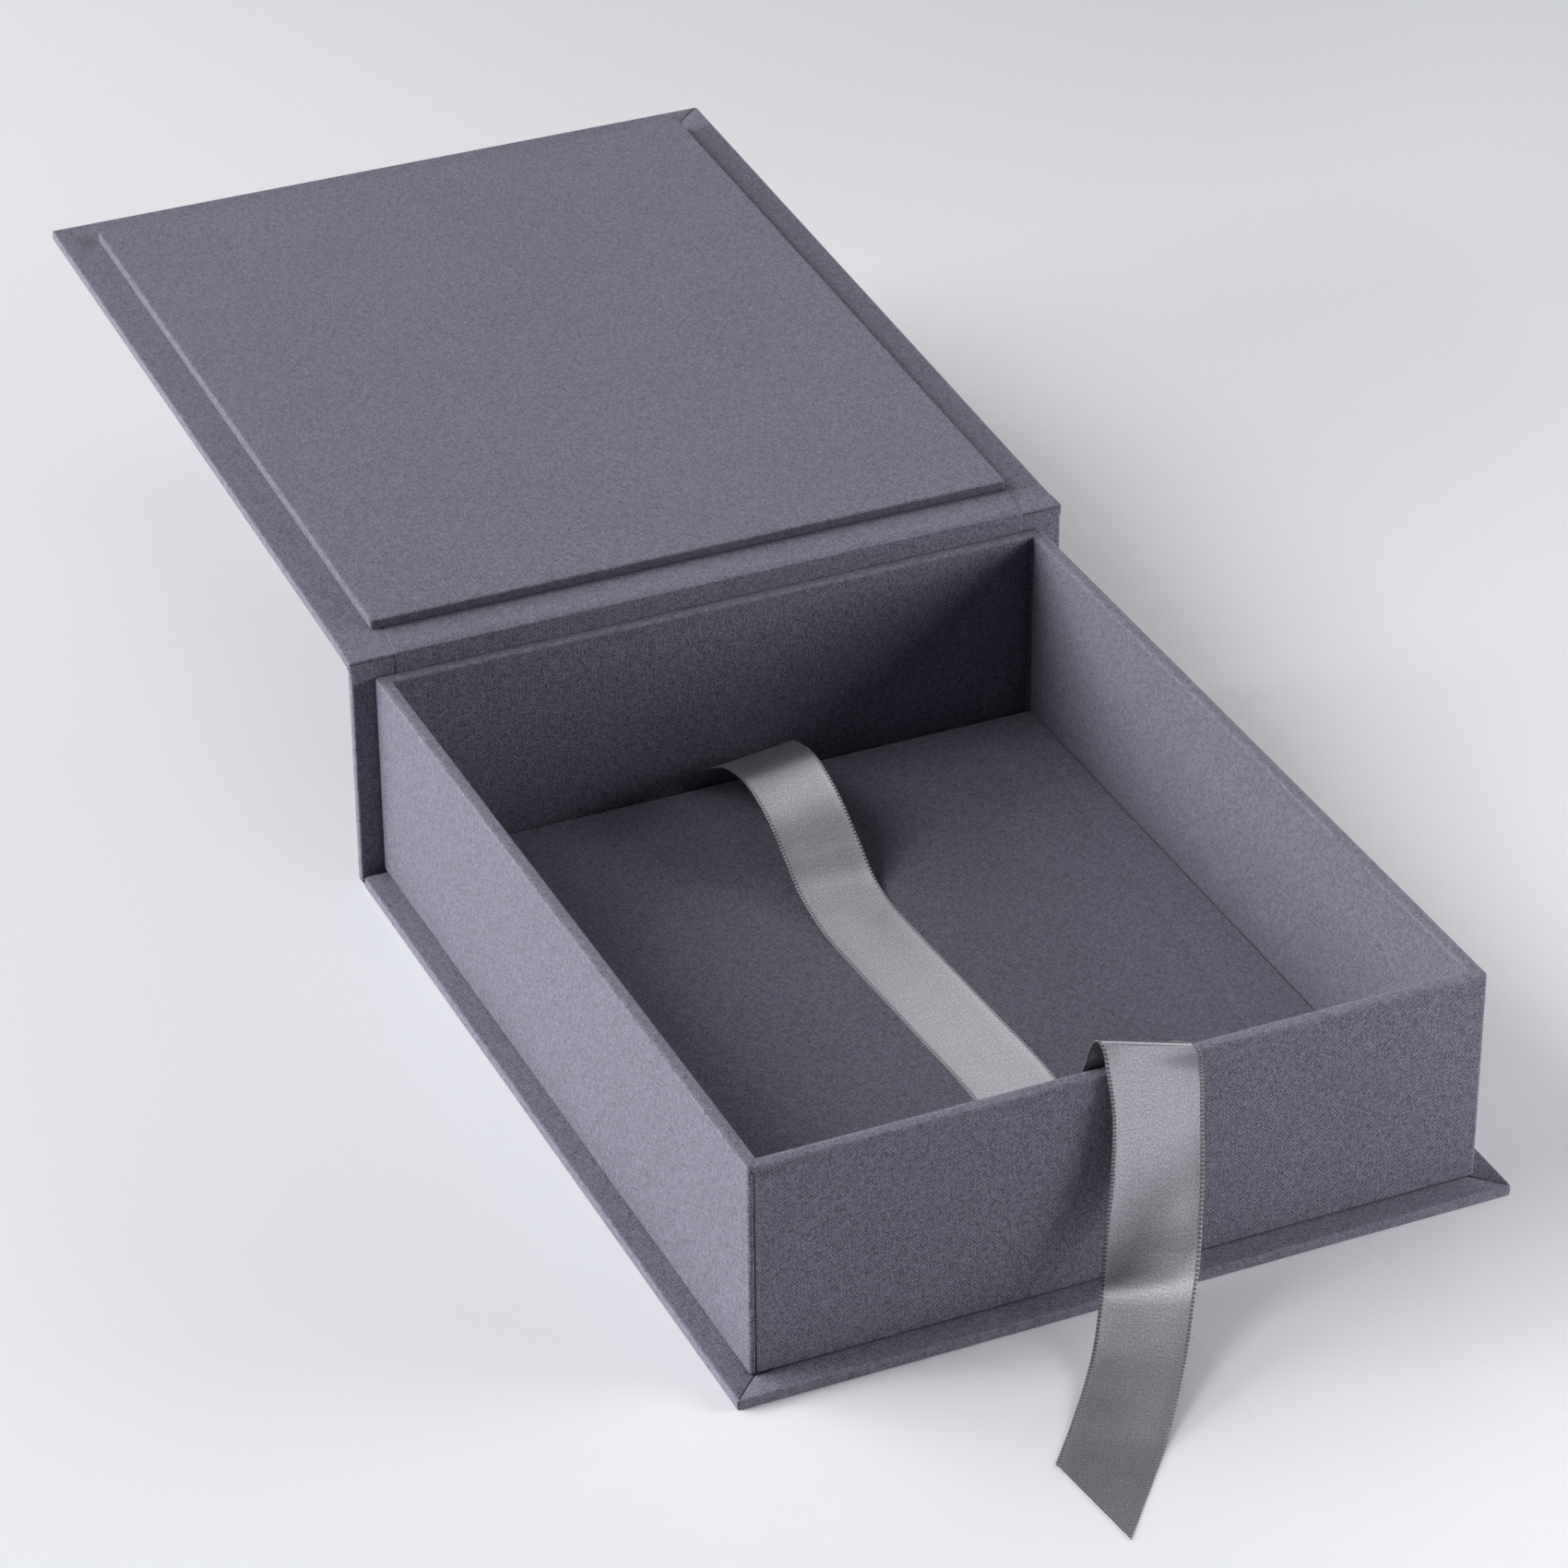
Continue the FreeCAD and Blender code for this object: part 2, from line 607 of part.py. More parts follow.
def make_tail():
    rows = tail_rows()
    falling, lying = between(rows[:-1], CURVE_STEPS), rows[-1]
    end, across = station(*lying)
    heading = FreeCAD.Vector(across.y, -across.x, 0)
    sections, length = ribbon_sections(falling, -UP, heading)
    width = number("Sizes.ribbon_width")
    tips = section(end, across, heading, 1.0)
    shorten = heading * (width * END_CUT_SHARE)
    tips = [tips[0] - shorten, tips[1], tips[2], tips[3] - shorten]
    sections.append(tips)
    loft("ribbon_tail", sections)
    return length + (end - FreeCAD.Vector(*falling[-1][:3])).Length


def make_ribbon():
    lengths = []
    run = between(run_rows(), CURVE_STEPS)
    forward = (FreeCAD.Vector(*run[1][:3]) - FreeCAD.Vector(*run[0][:3])).normalize()
    loop = tab_rows() + between(loop_rows(), CURVE_STEPS)
    sections, length = ribbon_sections(loop, BACKWARD, forward)
    loft("ribbon_loop", sections)
    lengths.append(length)
    sections, length = ribbon_sections(run, forward, UP)
    loft("ribbon_run", sections)
    lengths.append(length)
    sections, length = ribbon_sections(between(arch_rows(), CURVE_STEPS), UP, -UP)
    loft("ribbon_arch", sections)
    lengths.append(length)
    lengths.append(make_tail())
    for name, length in zip(("loop and tab", "run and rise", "arch", "tail"), lengths):
        print(f"ribbon {name}: {length:.1f} mm")
    print(f"ribbon in all: {sum(lengths):.1f} mm")


def finished():
    """Every sub-part, once nothing in the document has failed."""
    doc.recompute()
    parts = []
    for item in doc.Objects:
        if {"Invalid", "Error"} & set(item.State):
            raise RuntimeError(f"{item.Label} failed: {item.State}")
        if item.TypeId in ("PartDesign::Body", "Part::Feature") and item.getParentGeoFeatureGroup() is None:
            if item.Shape.isNull() or not item.Shape.isValid() or len(item.Shape.Solids) != 1:
                raise RuntimeError(f"{item.Label} has no single valid solid")
            parts.append(item)
    return parts


make_base()
make_spine()
make_lid()
make_lid_pad()
make_tray()
make_floor_lining()
make_ribbon()
os.makedirs("parts", exist_ok=True)
for item in finished():
    item.Shape.exportStep(os.path.join("parts", item.Label + ".step"))
    print(f"{item.Label}: {item.Shape.Volume:.1f} mm3")
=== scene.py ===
import math

import bmesh
import bpy
from mathutils import Matrix, Vector
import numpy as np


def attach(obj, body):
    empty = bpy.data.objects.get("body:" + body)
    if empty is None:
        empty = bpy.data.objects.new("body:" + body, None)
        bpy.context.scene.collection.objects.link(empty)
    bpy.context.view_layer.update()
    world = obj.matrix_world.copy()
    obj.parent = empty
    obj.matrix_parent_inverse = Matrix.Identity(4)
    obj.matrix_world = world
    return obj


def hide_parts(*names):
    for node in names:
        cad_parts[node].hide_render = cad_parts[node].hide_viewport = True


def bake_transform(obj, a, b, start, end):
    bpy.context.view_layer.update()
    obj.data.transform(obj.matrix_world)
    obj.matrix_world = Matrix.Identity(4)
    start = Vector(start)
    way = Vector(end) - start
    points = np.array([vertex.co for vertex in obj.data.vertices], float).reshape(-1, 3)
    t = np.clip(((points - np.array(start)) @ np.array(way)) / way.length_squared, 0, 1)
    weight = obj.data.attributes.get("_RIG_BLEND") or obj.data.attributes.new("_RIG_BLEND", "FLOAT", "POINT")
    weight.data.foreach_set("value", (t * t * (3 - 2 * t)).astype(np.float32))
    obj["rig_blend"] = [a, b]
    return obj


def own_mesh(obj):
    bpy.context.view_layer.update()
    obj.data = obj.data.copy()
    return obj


# Cloth-covered presentation box with its lid laid open, and a satin lift ribbon over its front wall.
# Metres. X to the right, Y to the hinge side, Z up.

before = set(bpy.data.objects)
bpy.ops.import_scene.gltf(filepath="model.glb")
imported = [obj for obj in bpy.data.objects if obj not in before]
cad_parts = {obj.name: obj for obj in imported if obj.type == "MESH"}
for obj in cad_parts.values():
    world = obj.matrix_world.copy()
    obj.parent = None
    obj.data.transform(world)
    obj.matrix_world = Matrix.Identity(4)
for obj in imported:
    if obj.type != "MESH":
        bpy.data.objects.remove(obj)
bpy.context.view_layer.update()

CASE_AND_TRAY, LID = "case_and_tray", "lid"
TINY = 1e-7

# ---------------------------------------------------------------- camera

EYE = Vector((-0.56208, -1.18729, 0.88927))
YAW, PITCH, ROLL = 0.415535, 0.551309, -0.00723
FOCAL_PIXELS, IMAGE_PIXELS = 6075.99, 1700
SENSOR = 36.0
CLIP_NEAR, CLIP_FAR = 0.05, 50


def make_camera():
    ahead = Vector((math.sin(YAW) * math.cos(PITCH), math.cos(YAW) * math.cos(PITCH), -math.sin(PITCH)))
    level = ahead.cross(Vector((0, 0, 1))).normalized()
    over = level.cross(ahead)
    right = math.cos(ROLL) * level + math.sin(ROLL) * over
    up = -math.sin(ROLL) * level + math.cos(ROLL) * over
    data = bpy.data.cameras.new("photo_camera")
    data.sensor_fit = "HORIZONTAL"
    data.sensor_width = SENSOR
    data.lens = SENSOR * FOCAL_PIXELS / IMAGE_PIXELS
    data.clip_start, data.clip_end = CLIP_NEAR, CLIP_FAR
    camera = bpy.data.objects.new("photo_camera", data)
    turn = Matrix((right, up, -ahead)).transposed().to_4x4()
    camera.matrix_world = Matrix.Translation(EYE) @ turn
    bpy.context.scene.collection.objects.link(camera)
    bpy.context.scene.camera = camera


# ---------------------------------------------------------------- materials


class Nodes:
    """A material's node tree, with short calls for the nodes used here."""

    def __init__(self, name):
        self.material = bpy.data.materials.new(name)
        self.material.use_nodes = True
        self.tree = self.material.node_tree
        self.shader = self.tree.nodes["Principled BSDF"]

    def put(self, socket, value):
        if isinstance(value, bpy.types.NodeSocket):
            self.tree.links.new(value, socket)
        else:
            socket.default_value = value

    def set_shader(self, values):
        """Sets the shader's sockets, by name, to numbers, colours or other nodes' outputs."""
        for name, value in values.items():
            self.put(self.shader.inputs[name], value)
        return self.material

    def math(self, operation, *values, clamp=False):
        node = self.tree.nodes.new("ShaderNodeMath")
        node.operation = operation
        node.use_clamp = clamp
        for socket, value in zip(node.inputs, values):
            self.put(socket, value)
        return node.outputs[0]

    def total(self, *values, clamp=False):
        """Sum of the values, added in their order."""
        out = values[0]
        for value in values[1:-1]:
            out = self.math("ADD", out, value)
        return self.math("ADD", out, values[-1], clamp=clamp)

    def swing(self, fac, amount):
        """A noise around zero, times an amount."""
        return self.math("MULTIPLY", self.math("SUBTRACT", fac, 0.5), amount)

    def wave(self, shape, place, period):
        """A sine or cosine along one coordinate."""
        return self.math(shape, self.math("MULTIPLY", place, 2 * math.pi / period))

    def uv(self):
        node = self.tree.nodes.new("ShaderNodeUVMap")
        node.uv_map = "UVMap"
        split = self.tree.nodes.new("ShaderNodeSeparateXYZ")
        self.tree.links.new(node.outputs[0], split.inputs[0])
        return split.outputs[0], split.outputs[1]

    def object_place(self):
        node = self.tree.nodes.new("ShaderNodeTexCoord")
        return node.outputs["Object"]

    def noise(self, place, scale, detail=2.0, roughness=0.5):
        node = self.tree.nodes.new("ShaderNodeTexNoise")
        self.tree.links.new(place, node.inputs["Vector"])
        node.inputs["Scale"].default_value = scale
        node.inputs["Detail"].default_value = detail
        node.inputs["Roughness"].default_value = roughness
        return node.outputs["Fac"]

    def grain(self, u, v, width, length, depth=0.0, roughness=0.5):
        """Noise on the surface, its spots about width along u and length along v."""
        place = self.tree.nodes.new("ShaderNodeCombineXYZ")
        self.put(place.inputs[0], self.math("MULTIPLY", u, 1 / width))
        self.put(place.inputs[1], self.math("MULTIPLY", v, 1 / length))
        self.put(place.inputs[2], depth)
        return self.noise(place.outputs[0], 1.0, 1, roughness)

    def remap(self, value, low, high, to_low, to_high):
        node = self.tree.nodes.new("ShaderNodeMapRange")
        for socket, number in zip(node.inputs[1:5], (low, high, to_low, to_high)):
            socket.default_value = number
        self.tree.links.new(value, node.inputs[0])
        return node.outputs[0]

    def mix(self, share, first, second):
        node = self.tree.nodes.new("ShaderNodeMix")
        node.data_type = "RGBA"
        self.put(node.inputs[0], share)
        self.put(node.inputs[6], first)
        self.put(node.inputs[7], second)
        return node.outputs[2]

    def attribute(self, name):
        node = self.tree.nodes.new("ShaderNodeAttribute")
        node.attribute_name = name
        return node.outputs["Fac"]

    def bump(self, height, distance, strength=1.0, under=None):
        node = self.tree.nodes.new("ShaderNodeBump")
        node.inputs["Distance"].default_value = distance
        node.inputs["Strength"].default_value = strength
        self.tree.links.new(height, node.inputs["Height"])
        if under is not None:
            self.tree.links.new(under, node.inputs["Normal"])
        return node.outputs[0]


def linear(red, green, blue):
    """sRGB 0-255 to the linear colour that Blender takes."""
    out = []
    for value in (red, green, blue):
        value /= 255
        out.append(value / 12.92 if value <= 0.04045 else ((value + 0.055) / 1.055) ** 2.4)
    return (*out, 1.0)


CLOTH_DARK, CLOTH_LIGHT = linear(68, 66, 78), linear(123, 121, 137)
# paler thread on the rounded edges, rubbed and with a painted highlight; then the colour of painted shade in
# folds and seams
CLOTH_WORN_AND_LIT, CLOTH_PAINTED_SHADE = linear(140, 137, 150), linear(30, 28, 34)
CLOTH_SHEEN = linear(205, 203, 222)
# spacing of the warp and weft threads, how far they wander, and the length of their thicker places
THREAD, PICK = 0.00052, 0.00060
WANDER = 0.0016
WARP_SLUB, WEFT_SLUB = 0.0032, 0.0026
SPECK_WIDTH, SPECK_LENGTH = 0.00050, 0.00045
# a height between the noise's own lattice planes, where its contrast is full
SPECK_DEPTH = 0.5


def book_cloth():
    """Woven rayon book cloth: fine ribs, slubs and specks, faint mottling, paler rubbed edges with a painted
    highlight, painted shade in folds and seams.
    """
    n = Nodes("book_cloth")
    u, v = n.uv()
    place = n.object_place()
    shift = n.swing(n.noise(place, 60, 2), WANDER)
    u_thread, v_thread = n.math("ADD", u, shift), n.math("ADD", v, shift)
    warp = n.wave("COSINE", u_thread, THREAD)
    weft = n.wave("COSINE", v_thread, PICK)
    cross = n.math("MULTIPLY", n.wave("COSINE", u_thread, 2 * THREAD), n.wave("COSINE", v_thread, 2 * PICK))
    weave = n.total(n.math("MULTIPLY", warp, 0.18), n.math("MULTIPLY", weft, 0.30),
                    n.math("MULTIPLY", cross, 0.45))
    slub_u = n.grain(u, v, WEFT_SLUB, PICK)
    slub_v = n.grain(u, v, THREAD, WARP_SLUB)
    speck = n.grain(u, v, SPECK_WIDTH, SPECK_LENGTH, SPECK_DEPTH, 0.6)
    mottle = n.noise(place, 420, 3, 0.6)
    cloud = n.noise(place, 22, 2, 0.5)
    share = n.total(n.swing(slub_u, 0.6), n.swing(slub_v, 0.6), n.swing(mottle, 0.20), n.swing(speck, 2.1),
                    n.swing(cloud, 0.12), n.math("MULTIPLY", weave, 0.30), 0.5, clamp=True)
    # paler rounded edges: rubbed thread, and a painted highlight where the rounding catches the light
    rubbed_and_lit = n.math("MULTIPLY", n.attribute("wear_and_highlight"), n.remap(mottle, 0.35, 0.65, 0.05, 0.30), clamp=True)
    colour = n.mix(rubbed_and_lit, n.mix(share, CLOTH_DARK, CLOTH_LIGHT), CLOTH_WORN_AND_LIT)
    fine = n.bump(weave, 0.00010, 1.0)
    yarn = n.bump(n.total(slub_u, slub_v, speck), 0.00012, 0.9, fine)
    return n.set_shader({
        # painted shade in seams, grooves, folds and under edges
        "Base Color": n.mix(n.math("MULTIPLY", n.attribute("crease"), 0.8), colour, CLOTH_PAINTED_SHADE),
        "Roughness": n.remap(share, 0.0, 1.0, 0.92, 0.74),
        "Specular IOR Level": 0.28,
        "Sheen Weight": 0.25,
        "Sheen Roughness": 0.5,
        "Sheen Tint": CLOTH_SHEEN,
        "Normal": n.bump(cloud, 0.0006, 0.35, yarn),
    })


SATIN_DARK, SATIN_LIGHT = linear(150, 148, 154), linear(228, 225, 234)
# the satin's back is a duller weave, its dark colour also painted shade, as under the arch
SATIN_EDGE, SATIN_STITCH, SATIN_BACK_AND_SHADE = linear(176, 173, 174), linear(86, 82, 84), linear(72, 67, 69)
RIBBON_WIDTH, RIBBON_THICK, RIBBON_EASE = 0.0254, 0.0003, 0.00005
TWILL_ACROSS, TWILL_ALONG = 0.00042, 0.00060
STITCH = 0.00115
# where the selvage and its stitches begin, as distances from the ribbon's edge
SELVAGE_FROM, SELVAGE_FULL = 0.0013, 0.0009
STITCH_FROM, STITCH_FULL = 0.00105, 0.00085


def satin():
    """Satin ribbon: long gloss across the weave, twill grain, stitched selvages, a dull back darkened as
    painted shade.
    """
    n = Nodes("ribbon_satin")
    u, v = n.uv()
    twill = n.math("SINE", n.math("ADD", n.math("MULTIPLY", u, 2 * math.pi / TWILL_ACROSS),
                                  n.math("MULTIPLY", v, 2 * math.pi / TWILL_ALONG)))
    warp = n.grain(u, v, 0.00016, 0.02)
    shot = n.grain(u, v, 0.010, 0.00045)
    fleck = n.grain(u, v, 0.00045, 0.00055)
    away = n.math("SUBTRACT", RIBBON_WIDTH / 2, n.math("ABSOLUTE", u))
    selvage = n.remap(away, SELVAGE_FROM, SELVAGE_FULL, 0.0, 1.0)
    stitch = n.remap(n.wave("SINE", v, STITCH), -0.35, 0.35, 0.0, 1.0)
    outer = n.remap(away, STITCH_FROM, STITCH_FULL, 0.0, 1.0)
    dot = n.math("MULTIPLY", n.math("SUBTRACT", 1.0, stitch), outer)
    tone = n.total(n.swing(warp, 0.35), n.swing(shot, 0.35), n.swing(fleck, 1.6),
                   n.math("MULTIPLY", twill, 0.10), 0.5, clamp=True)
    colour = n.mix(tone, SATIN_DARK, SATIN_LIGHT)
    colour = n.mix(n.math("MULTIPLY", selvage, 0.35), colour, SATIN_EDGE)
    colour = n.mix(n.math("MULTIPLY", dot, 0.65), colour, SATIN_STITCH)
    tangent = n.tree.nodes.new("ShaderNodeTangent")
    tangent.direction_type = "UV_MAP"
    tangent.uv_map = "UVMap"
    weave = n.total(n.math("MULTIPLY", twill, 0.3), warp, n.math("MULTIPLY", fleck, 1.5))
    grain = n.bump(weave, 0.00002, 0.6)
    return n.set_shader({
        # the ribbon's back: a duller weave, darkened further as painted shade
        "Base Color": n.mix(n.math("MULTIPLY", n.attribute("dull_back_and_shade"), 0.62), colour, SATIN_BACK_AND_SHADE),
        "Roughness": n.remap(selvage, 0.0, 1.0, 0.48, 0.64),
        "Metallic": 0.93,
        "Specular IOR Level": 0.75,
        "Anisotropic": 0.90,
        "Sheen Weight": 0.08,
        "Sheen Roughness": 0.35,
        "Tangent": tangent.outputs[0],
        "Normal": n.bump(n.math("MULTIPLY", stitch, outer), 0.00018, 0.9, grain),
    })


def grey_board():
    """Case board: pressed grey fibre with darker flecks."""
    n = Nodes("grey_board")
    place = n.object_place()
    fibre = n.noise(place, 420, 4, 0.65)
    fleck = n.remap(n.noise(place, 1500, 1), 0.62, 0.70, 0.0, 1.0)
    colour = n.mix(fibre, linear(132, 126, 116), linear(166, 160, 149))
    return n.set_shader({
        "Base Color": n.mix(n.math("MULTIPLY", fleck, 0.5), colour, linear(92, 88, 84)),
        "Roughness": n.remap(fibre, 0.3, 0.7, 0.95, 0.82),
        "Normal": n.bump(fibre, 0.0001, 0.6),
    })


def floor_material():
    """Pale, slightly glossy table top."""
    n = Nodes("pale_table")
    haze = n.noise(n.object_place(), 2.2, 2)
    return n.set_shader({
        "Base Color": n.mix(haze, linear(223, 225, 229), linear(229, 230, 234)),
        "Roughness": n.remap(haze, 0.3, 0.7, 0.22, 0.28),
        "Specular IOR Level": 0.35,
    })


# ---------------------------------------------------------------- mesh tools


def everything(bm):
    return bm.verts[:] + bm.edges[:] + bm.faces[:]


def skin(bm, rings):
    """Faces between neighbouring rings of points."""
    count = len(rings[0])
    for first, second in zip(rings, rings[1:]):
        for i in range(count):
            j = (i + 1) % count
            bm.faces.new((first[i], first[j], second[j], second[i]))


def slab(low, high, corner, top, bottom, steps=3):
    """A board covered in cloth: a box with rounded upright, top and bottom edges."""
    bm = bmesh.new()
    bmesh.ops.create_cube(bm, size=1.0)
    low, high = Vector(low), Vector(high)
    size = high - low
    for vert in bm.verts:
        vert.co = Vector([low[i] + (vert.co[i] + 0.5) * size[i] for i in range(3)])

    def uprights():
        return [edge for edge in bm.edges if abs(edge.verts[0].co.z - edge.verts[1].co.z) > size.z / 2]

    def rim(z):
        return [edge for edge in bm.edges
                if all(abs(vert.co.z - z) < TINY for vert in edge.verts) and len(edge.link_faces) == 2
                and min(abs(face.normal.z) for face in edge.link_faces) < 0.5]

    def round_off(edges, radius):
        if radius > 0:
            bmesh.ops.bevel(bm, geom=edges, offset=radius, offset_type="OFFSET", segments=steps,
                            profile=0.5, affect="EDGES", clamp_overlap=True)

    round_off(uprights(), corner)
    round_off(rim(high.z), top)
    round_off(rim(low.z), bottom)
    bm.normal_update()
    return bm


def spread(low, high, step, rim):
    """Places from low to high: a narrow band at each rim, then even steps."""
    inner_low, inner_high = low + rim, high - rim
    count = max(1, round((inner_high - inner_low) / step))
    return [inner_low + (inner_high - inner_low) * i / count for i in range(count + 1)]


THIN_SIDE = 0.006


def grid(bm, low, high, step, rim=0.0009):
    """Cuts the mesh into a grid, along each side that isn't thin."""
    for axis in range(3):
        if high[axis] - low[axis] > THIN_SIDE:
            normal = Vector([1.0 if i == axis else 0.0 for i in range(3)])
            for place in spread(low[axis], high[axis], step, rim):
                bmesh.ops.bisect_plane(bm, geom=everything(bm), dist=TINY,
                                       plane_co=normal * place, plane_no=normal)


def mark_wear_and_highlight(bm, low, high, reach, amount=1.0):
    """Marks the rounded edges, for paler rubbed thread and a painted highlight there."""
    layer = bm.verts.layers.float.new("wear_and_highlight")
    for vert in bm.verts:
        near = sum(1 for i in range(3) if min(vert.co[i] - low[i], high[i] - vert.co[i]) < reach)
        vert[layer] = amount if near >= 2 else 0.0


# least cosine between a face and the side that is scored, and how far from the line it and its points may lie
FACING = 0.6
FACE_REACH, POINT_REACH = 0.0012, 0.0008
ON_LINE = 1e-6


def score(bm, start, end, into, depth, width, shadow=1.0):
    """Presses a seam line into the faces between start and end: cut three times, middle pushed in and given
    painted shade.
    """
    start, end, into = Vector(start), Vector(end), Vector(into).normalized()
    along = (end - start)
    length = along.length
    along.normalize()
    aside = along.cross(into).normalized()

    def close(face):
        if face.normal.dot(-into) < FACING:
            return False
        ts = [(vert.co - start).dot(along) for vert in face.verts]
        ss = [(vert.co - start).dot(aside) for vert in face.verts]
        us = [abs((vert.co - start).dot(into)) for vert in face.verts]
        return (max(ts) > -width and min(ts) < length + width and max(ss) > -width
                and min(ss) < width and min(us) < FACE_REACH)

    planes = [(start, along), (end, along), (start - aside * width / 2, aside), (start, aside),
              (start + aside * width / 2, aside)]
    for place, normal in planes:
        faces = [face for face in bm.faces if close(face)]
        if not faces:
            return
        geom = list({g for face in faces for g in list(face.verts) + list(face.edges)}) + faces
        bmesh.ops.bisect_plane(bm, geom=geom, dist=TINY, plane_co=place, plane_no=normal)
        bm.normal_update()
    # the pushed-in points get painted shade, as strong as shadow
    layer = bm.verts.layers.float.get("crease") or bm.verts.layers.float.new("crease")
    moved = [vert for vert in bm.verts
             if abs((vert.co - start).dot(aside)) < ON_LINE
             and -ON_LINE < (vert.co - start).dot(along) < length + ON_LINE
             and abs((vert.co - start).dot(into)) < POINT_REACH
             and any(face.normal.dot(-into) > FACING for face in vert.link_faces)]
    for vert in moved:
        vert.co += into * depth
        vert[layer] = shadow


def box_uv(bm):
    """UVs in metres, from the side that each face looks to."""
    bm.normal_update()
    layer = bm.loops.layers.uv.new("UVMap")
    for face in bm.faces:
        size = [abs(c) for c in face.normal]
        main = size.index(max(size))
        first, second = ((1, 2), (0, 2), (0, 1))[main]
        for loop in face.loops:
            loop[layer].uv = (loop.vert.co[first], loop.vert.co[second])


LID_TILT = math.radians(3.17)
HINGE = Vector((0, 0.13770, 0.07195))
LID_PLACE = Matrix.Translation(HINGE) @ Matrix.Rotation(LID_TILT, 4, "X")


def piece(bm, name, material, replaced, body=None, place=None, sharp=50):
    """The finished mesh as a piece of the object. With no body, the caller blends it between two."""
    if place is not None:
        bmesh.ops.transform(bm, matrix=place, verts=bm.verts)
    bmesh.ops.recalc_face_normals(bm, faces=bm.faces)
    mesh = bpy.data.meshes.new(name)
    bm.to_mesh(mesh)
    bm.free()
    mesh.polygons.foreach_set("use_smooth", [True] * len(mesh.polygons))
    mesh.set_sharp_from_angle(angle=math.radians(sharp))
    mesh.materials.append(material)
    obj = bpy.data.objects.new(name, mesh)
    bpy.context.scene.collection.objects.link(obj)
    if body is not None:
        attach(obj, body)
    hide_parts(*replaced)
    return obj


# ---------------------------------------------------------------- the covered boards

HALF_CASE = 0.114
CASE_FRONT, CASE_BACK = -0.1396, 0.1396
CASE_THICK = 0.0032
TRAY_FRONT, TRAY_BACK, HALF_TRAY = -0.1316, 0.1364, 0.107
WALL = 0.004
WALL_TOP = 0.0687
FLOOR_TOP = 0.0081
BASE_BACK = 0.1347
SPINE_INNER = 0.1367
SPINE_TOP = 0.07195
CORNER, EDGE = 0.0008, 0.0005
GRID = 0.012
# from the centre of the case's rounded upright corner to the middle of its surface, along each side
CORNER_MIDDLE = 0.000546
TURN_IN_DEPTH = 0.00035


def make_base(cloth):
    low, high = (-HALF_CASE, CASE_FRONT, 0), (HALF_CASE, BASE_BACK, CASE_THICK)
    bm = slab(low, high, CORNER, EDGE, EDGE * 0.7)
    grid(bm, low, high, GRID)
    mark_wear_and_highlight(bm, low, high, EDGE + 0.0001)
    # mitres of the turned-in cloth on top, and the lapped cloth down the corners, their lines pressed in with
    # painted shade
    for side in (-1, 1):
        corner = Vector((side * (HALF_CASE - 0.0005), CASE_FRONT + 0.0005, CASE_THICK))
        inner = Vector((side * (HALF_TRAY - 0.002), TRAY_FRONT + 0.001, CASE_THICK))
        score(bm, corner, inner, (0, 0, -1), TURN_IN_DEPTH, 0.0007)
        middle_x, middle_y = HALF_CASE - CORNER + CORNER_MIDDLE, CASE_FRONT + CORNER - CORNER_MIDDLE
        foot, head = Vector((side * middle_x, middle_y, 0.0005)), Vector((side * middle_x, middle_y, 0.0027))
        score(bm, foot, head, (-side, 1, 0), 0.0003, 0.0003)
    # the cloth under the groove between base and spine
    joint = slab((-HALF_CASE + 0.0004, 0.134, 0), (HALF_CASE - 0.0004, 0.138, 0.0004), 0, 0, 0)
    mesh = bpy.data.meshes.new("joint")
    joint.to_mesh(mesh)
    joint.free()
    bm.from_mesh(mesh)
    bpy.data.meshes.remove(mesh)
    box_uv(bm)
    piece(bm, "base_cloth", cloth, ["base_cover_cloth"], CASE_AND_TRAY)


def make_spine(cloth):
    low, high = (-HALF_CASE, SPINE_INNER, 0), (HALF_CASE, CASE_BACK, SPINE_TOP)
    bm = slab(low, high, 0.0006, 0.0004, 0.0004)
    grid(bm, low, high, GRID, 0.0008)
    mark_wear_and_highlight(bm, low, high, 0.0007)
    box_uv(bm)
    piece(bm, "spine_cloth", cloth, ["spine_cover_cloth"], CASE_AND_TRAY)


LID_NEAR, LID_FAR = 0.0053, 0.2773
LID_UNDER, LID_TOP = -0.0003, 0.00275
PAD_NEAR, PAD_FAR, HALF_PAD = 0.0135, 0.2647, 0.1024
PAD_TOP = 0.0061
# cloth laid on a board goes this far into it
SUNK = 0.00005


def make_lid(cloth):
    low, high = (-HALF_CASE, LID_NEAR, LID_UNDER), (HALF_CASE, LID_FAR, LID_TOP)
    bm = slab(low, high, CORNER, EDGE, EDGE)
    grid(bm, low, high, GRID)
    mark_wear_and_highlight(bm, low, high, EDGE + 0.0001)
    # the near top edge stays square under the cloth that crosses the joint
    for vert in bm.verts:
        x, y, z = vert.co
        if y < LID_NEAR + EDGE * 1.2 and z > LID_TOP - EDGE * 1.2 and abs(x) < HALF_CASE - 0.001:
            vert.co.z = LID_TOP
    # mitres of the turned-in cloth, bent where the two flaps meet, pressed in with painted shade
    for side in (-1, 1):
        corner = Vector((side * (HALF_CASE - 0.0004), LID_FAR - 0.0004, LID_TOP))
        middle = Vector((side * (HALF_CASE - 0.0070), LID_FAR - 0.0060, LID_TOP))
        inner = Vector((side * (HALF_PAD - 0.001), PAD_FAR - 0.001, LID_TOP))
        score(bm, corner, middle, (0, 0, -1), TURN_IN_DEPTH, 0.0008)
        score(bm, middle, inner, (0, 0, -1), TURN_IN_DEPTH, 0.0008)
    box_uv(bm)
    piece(bm, "lid_cloth", cloth, ["lid_cover_cloth"], LID, LID_PLACE)


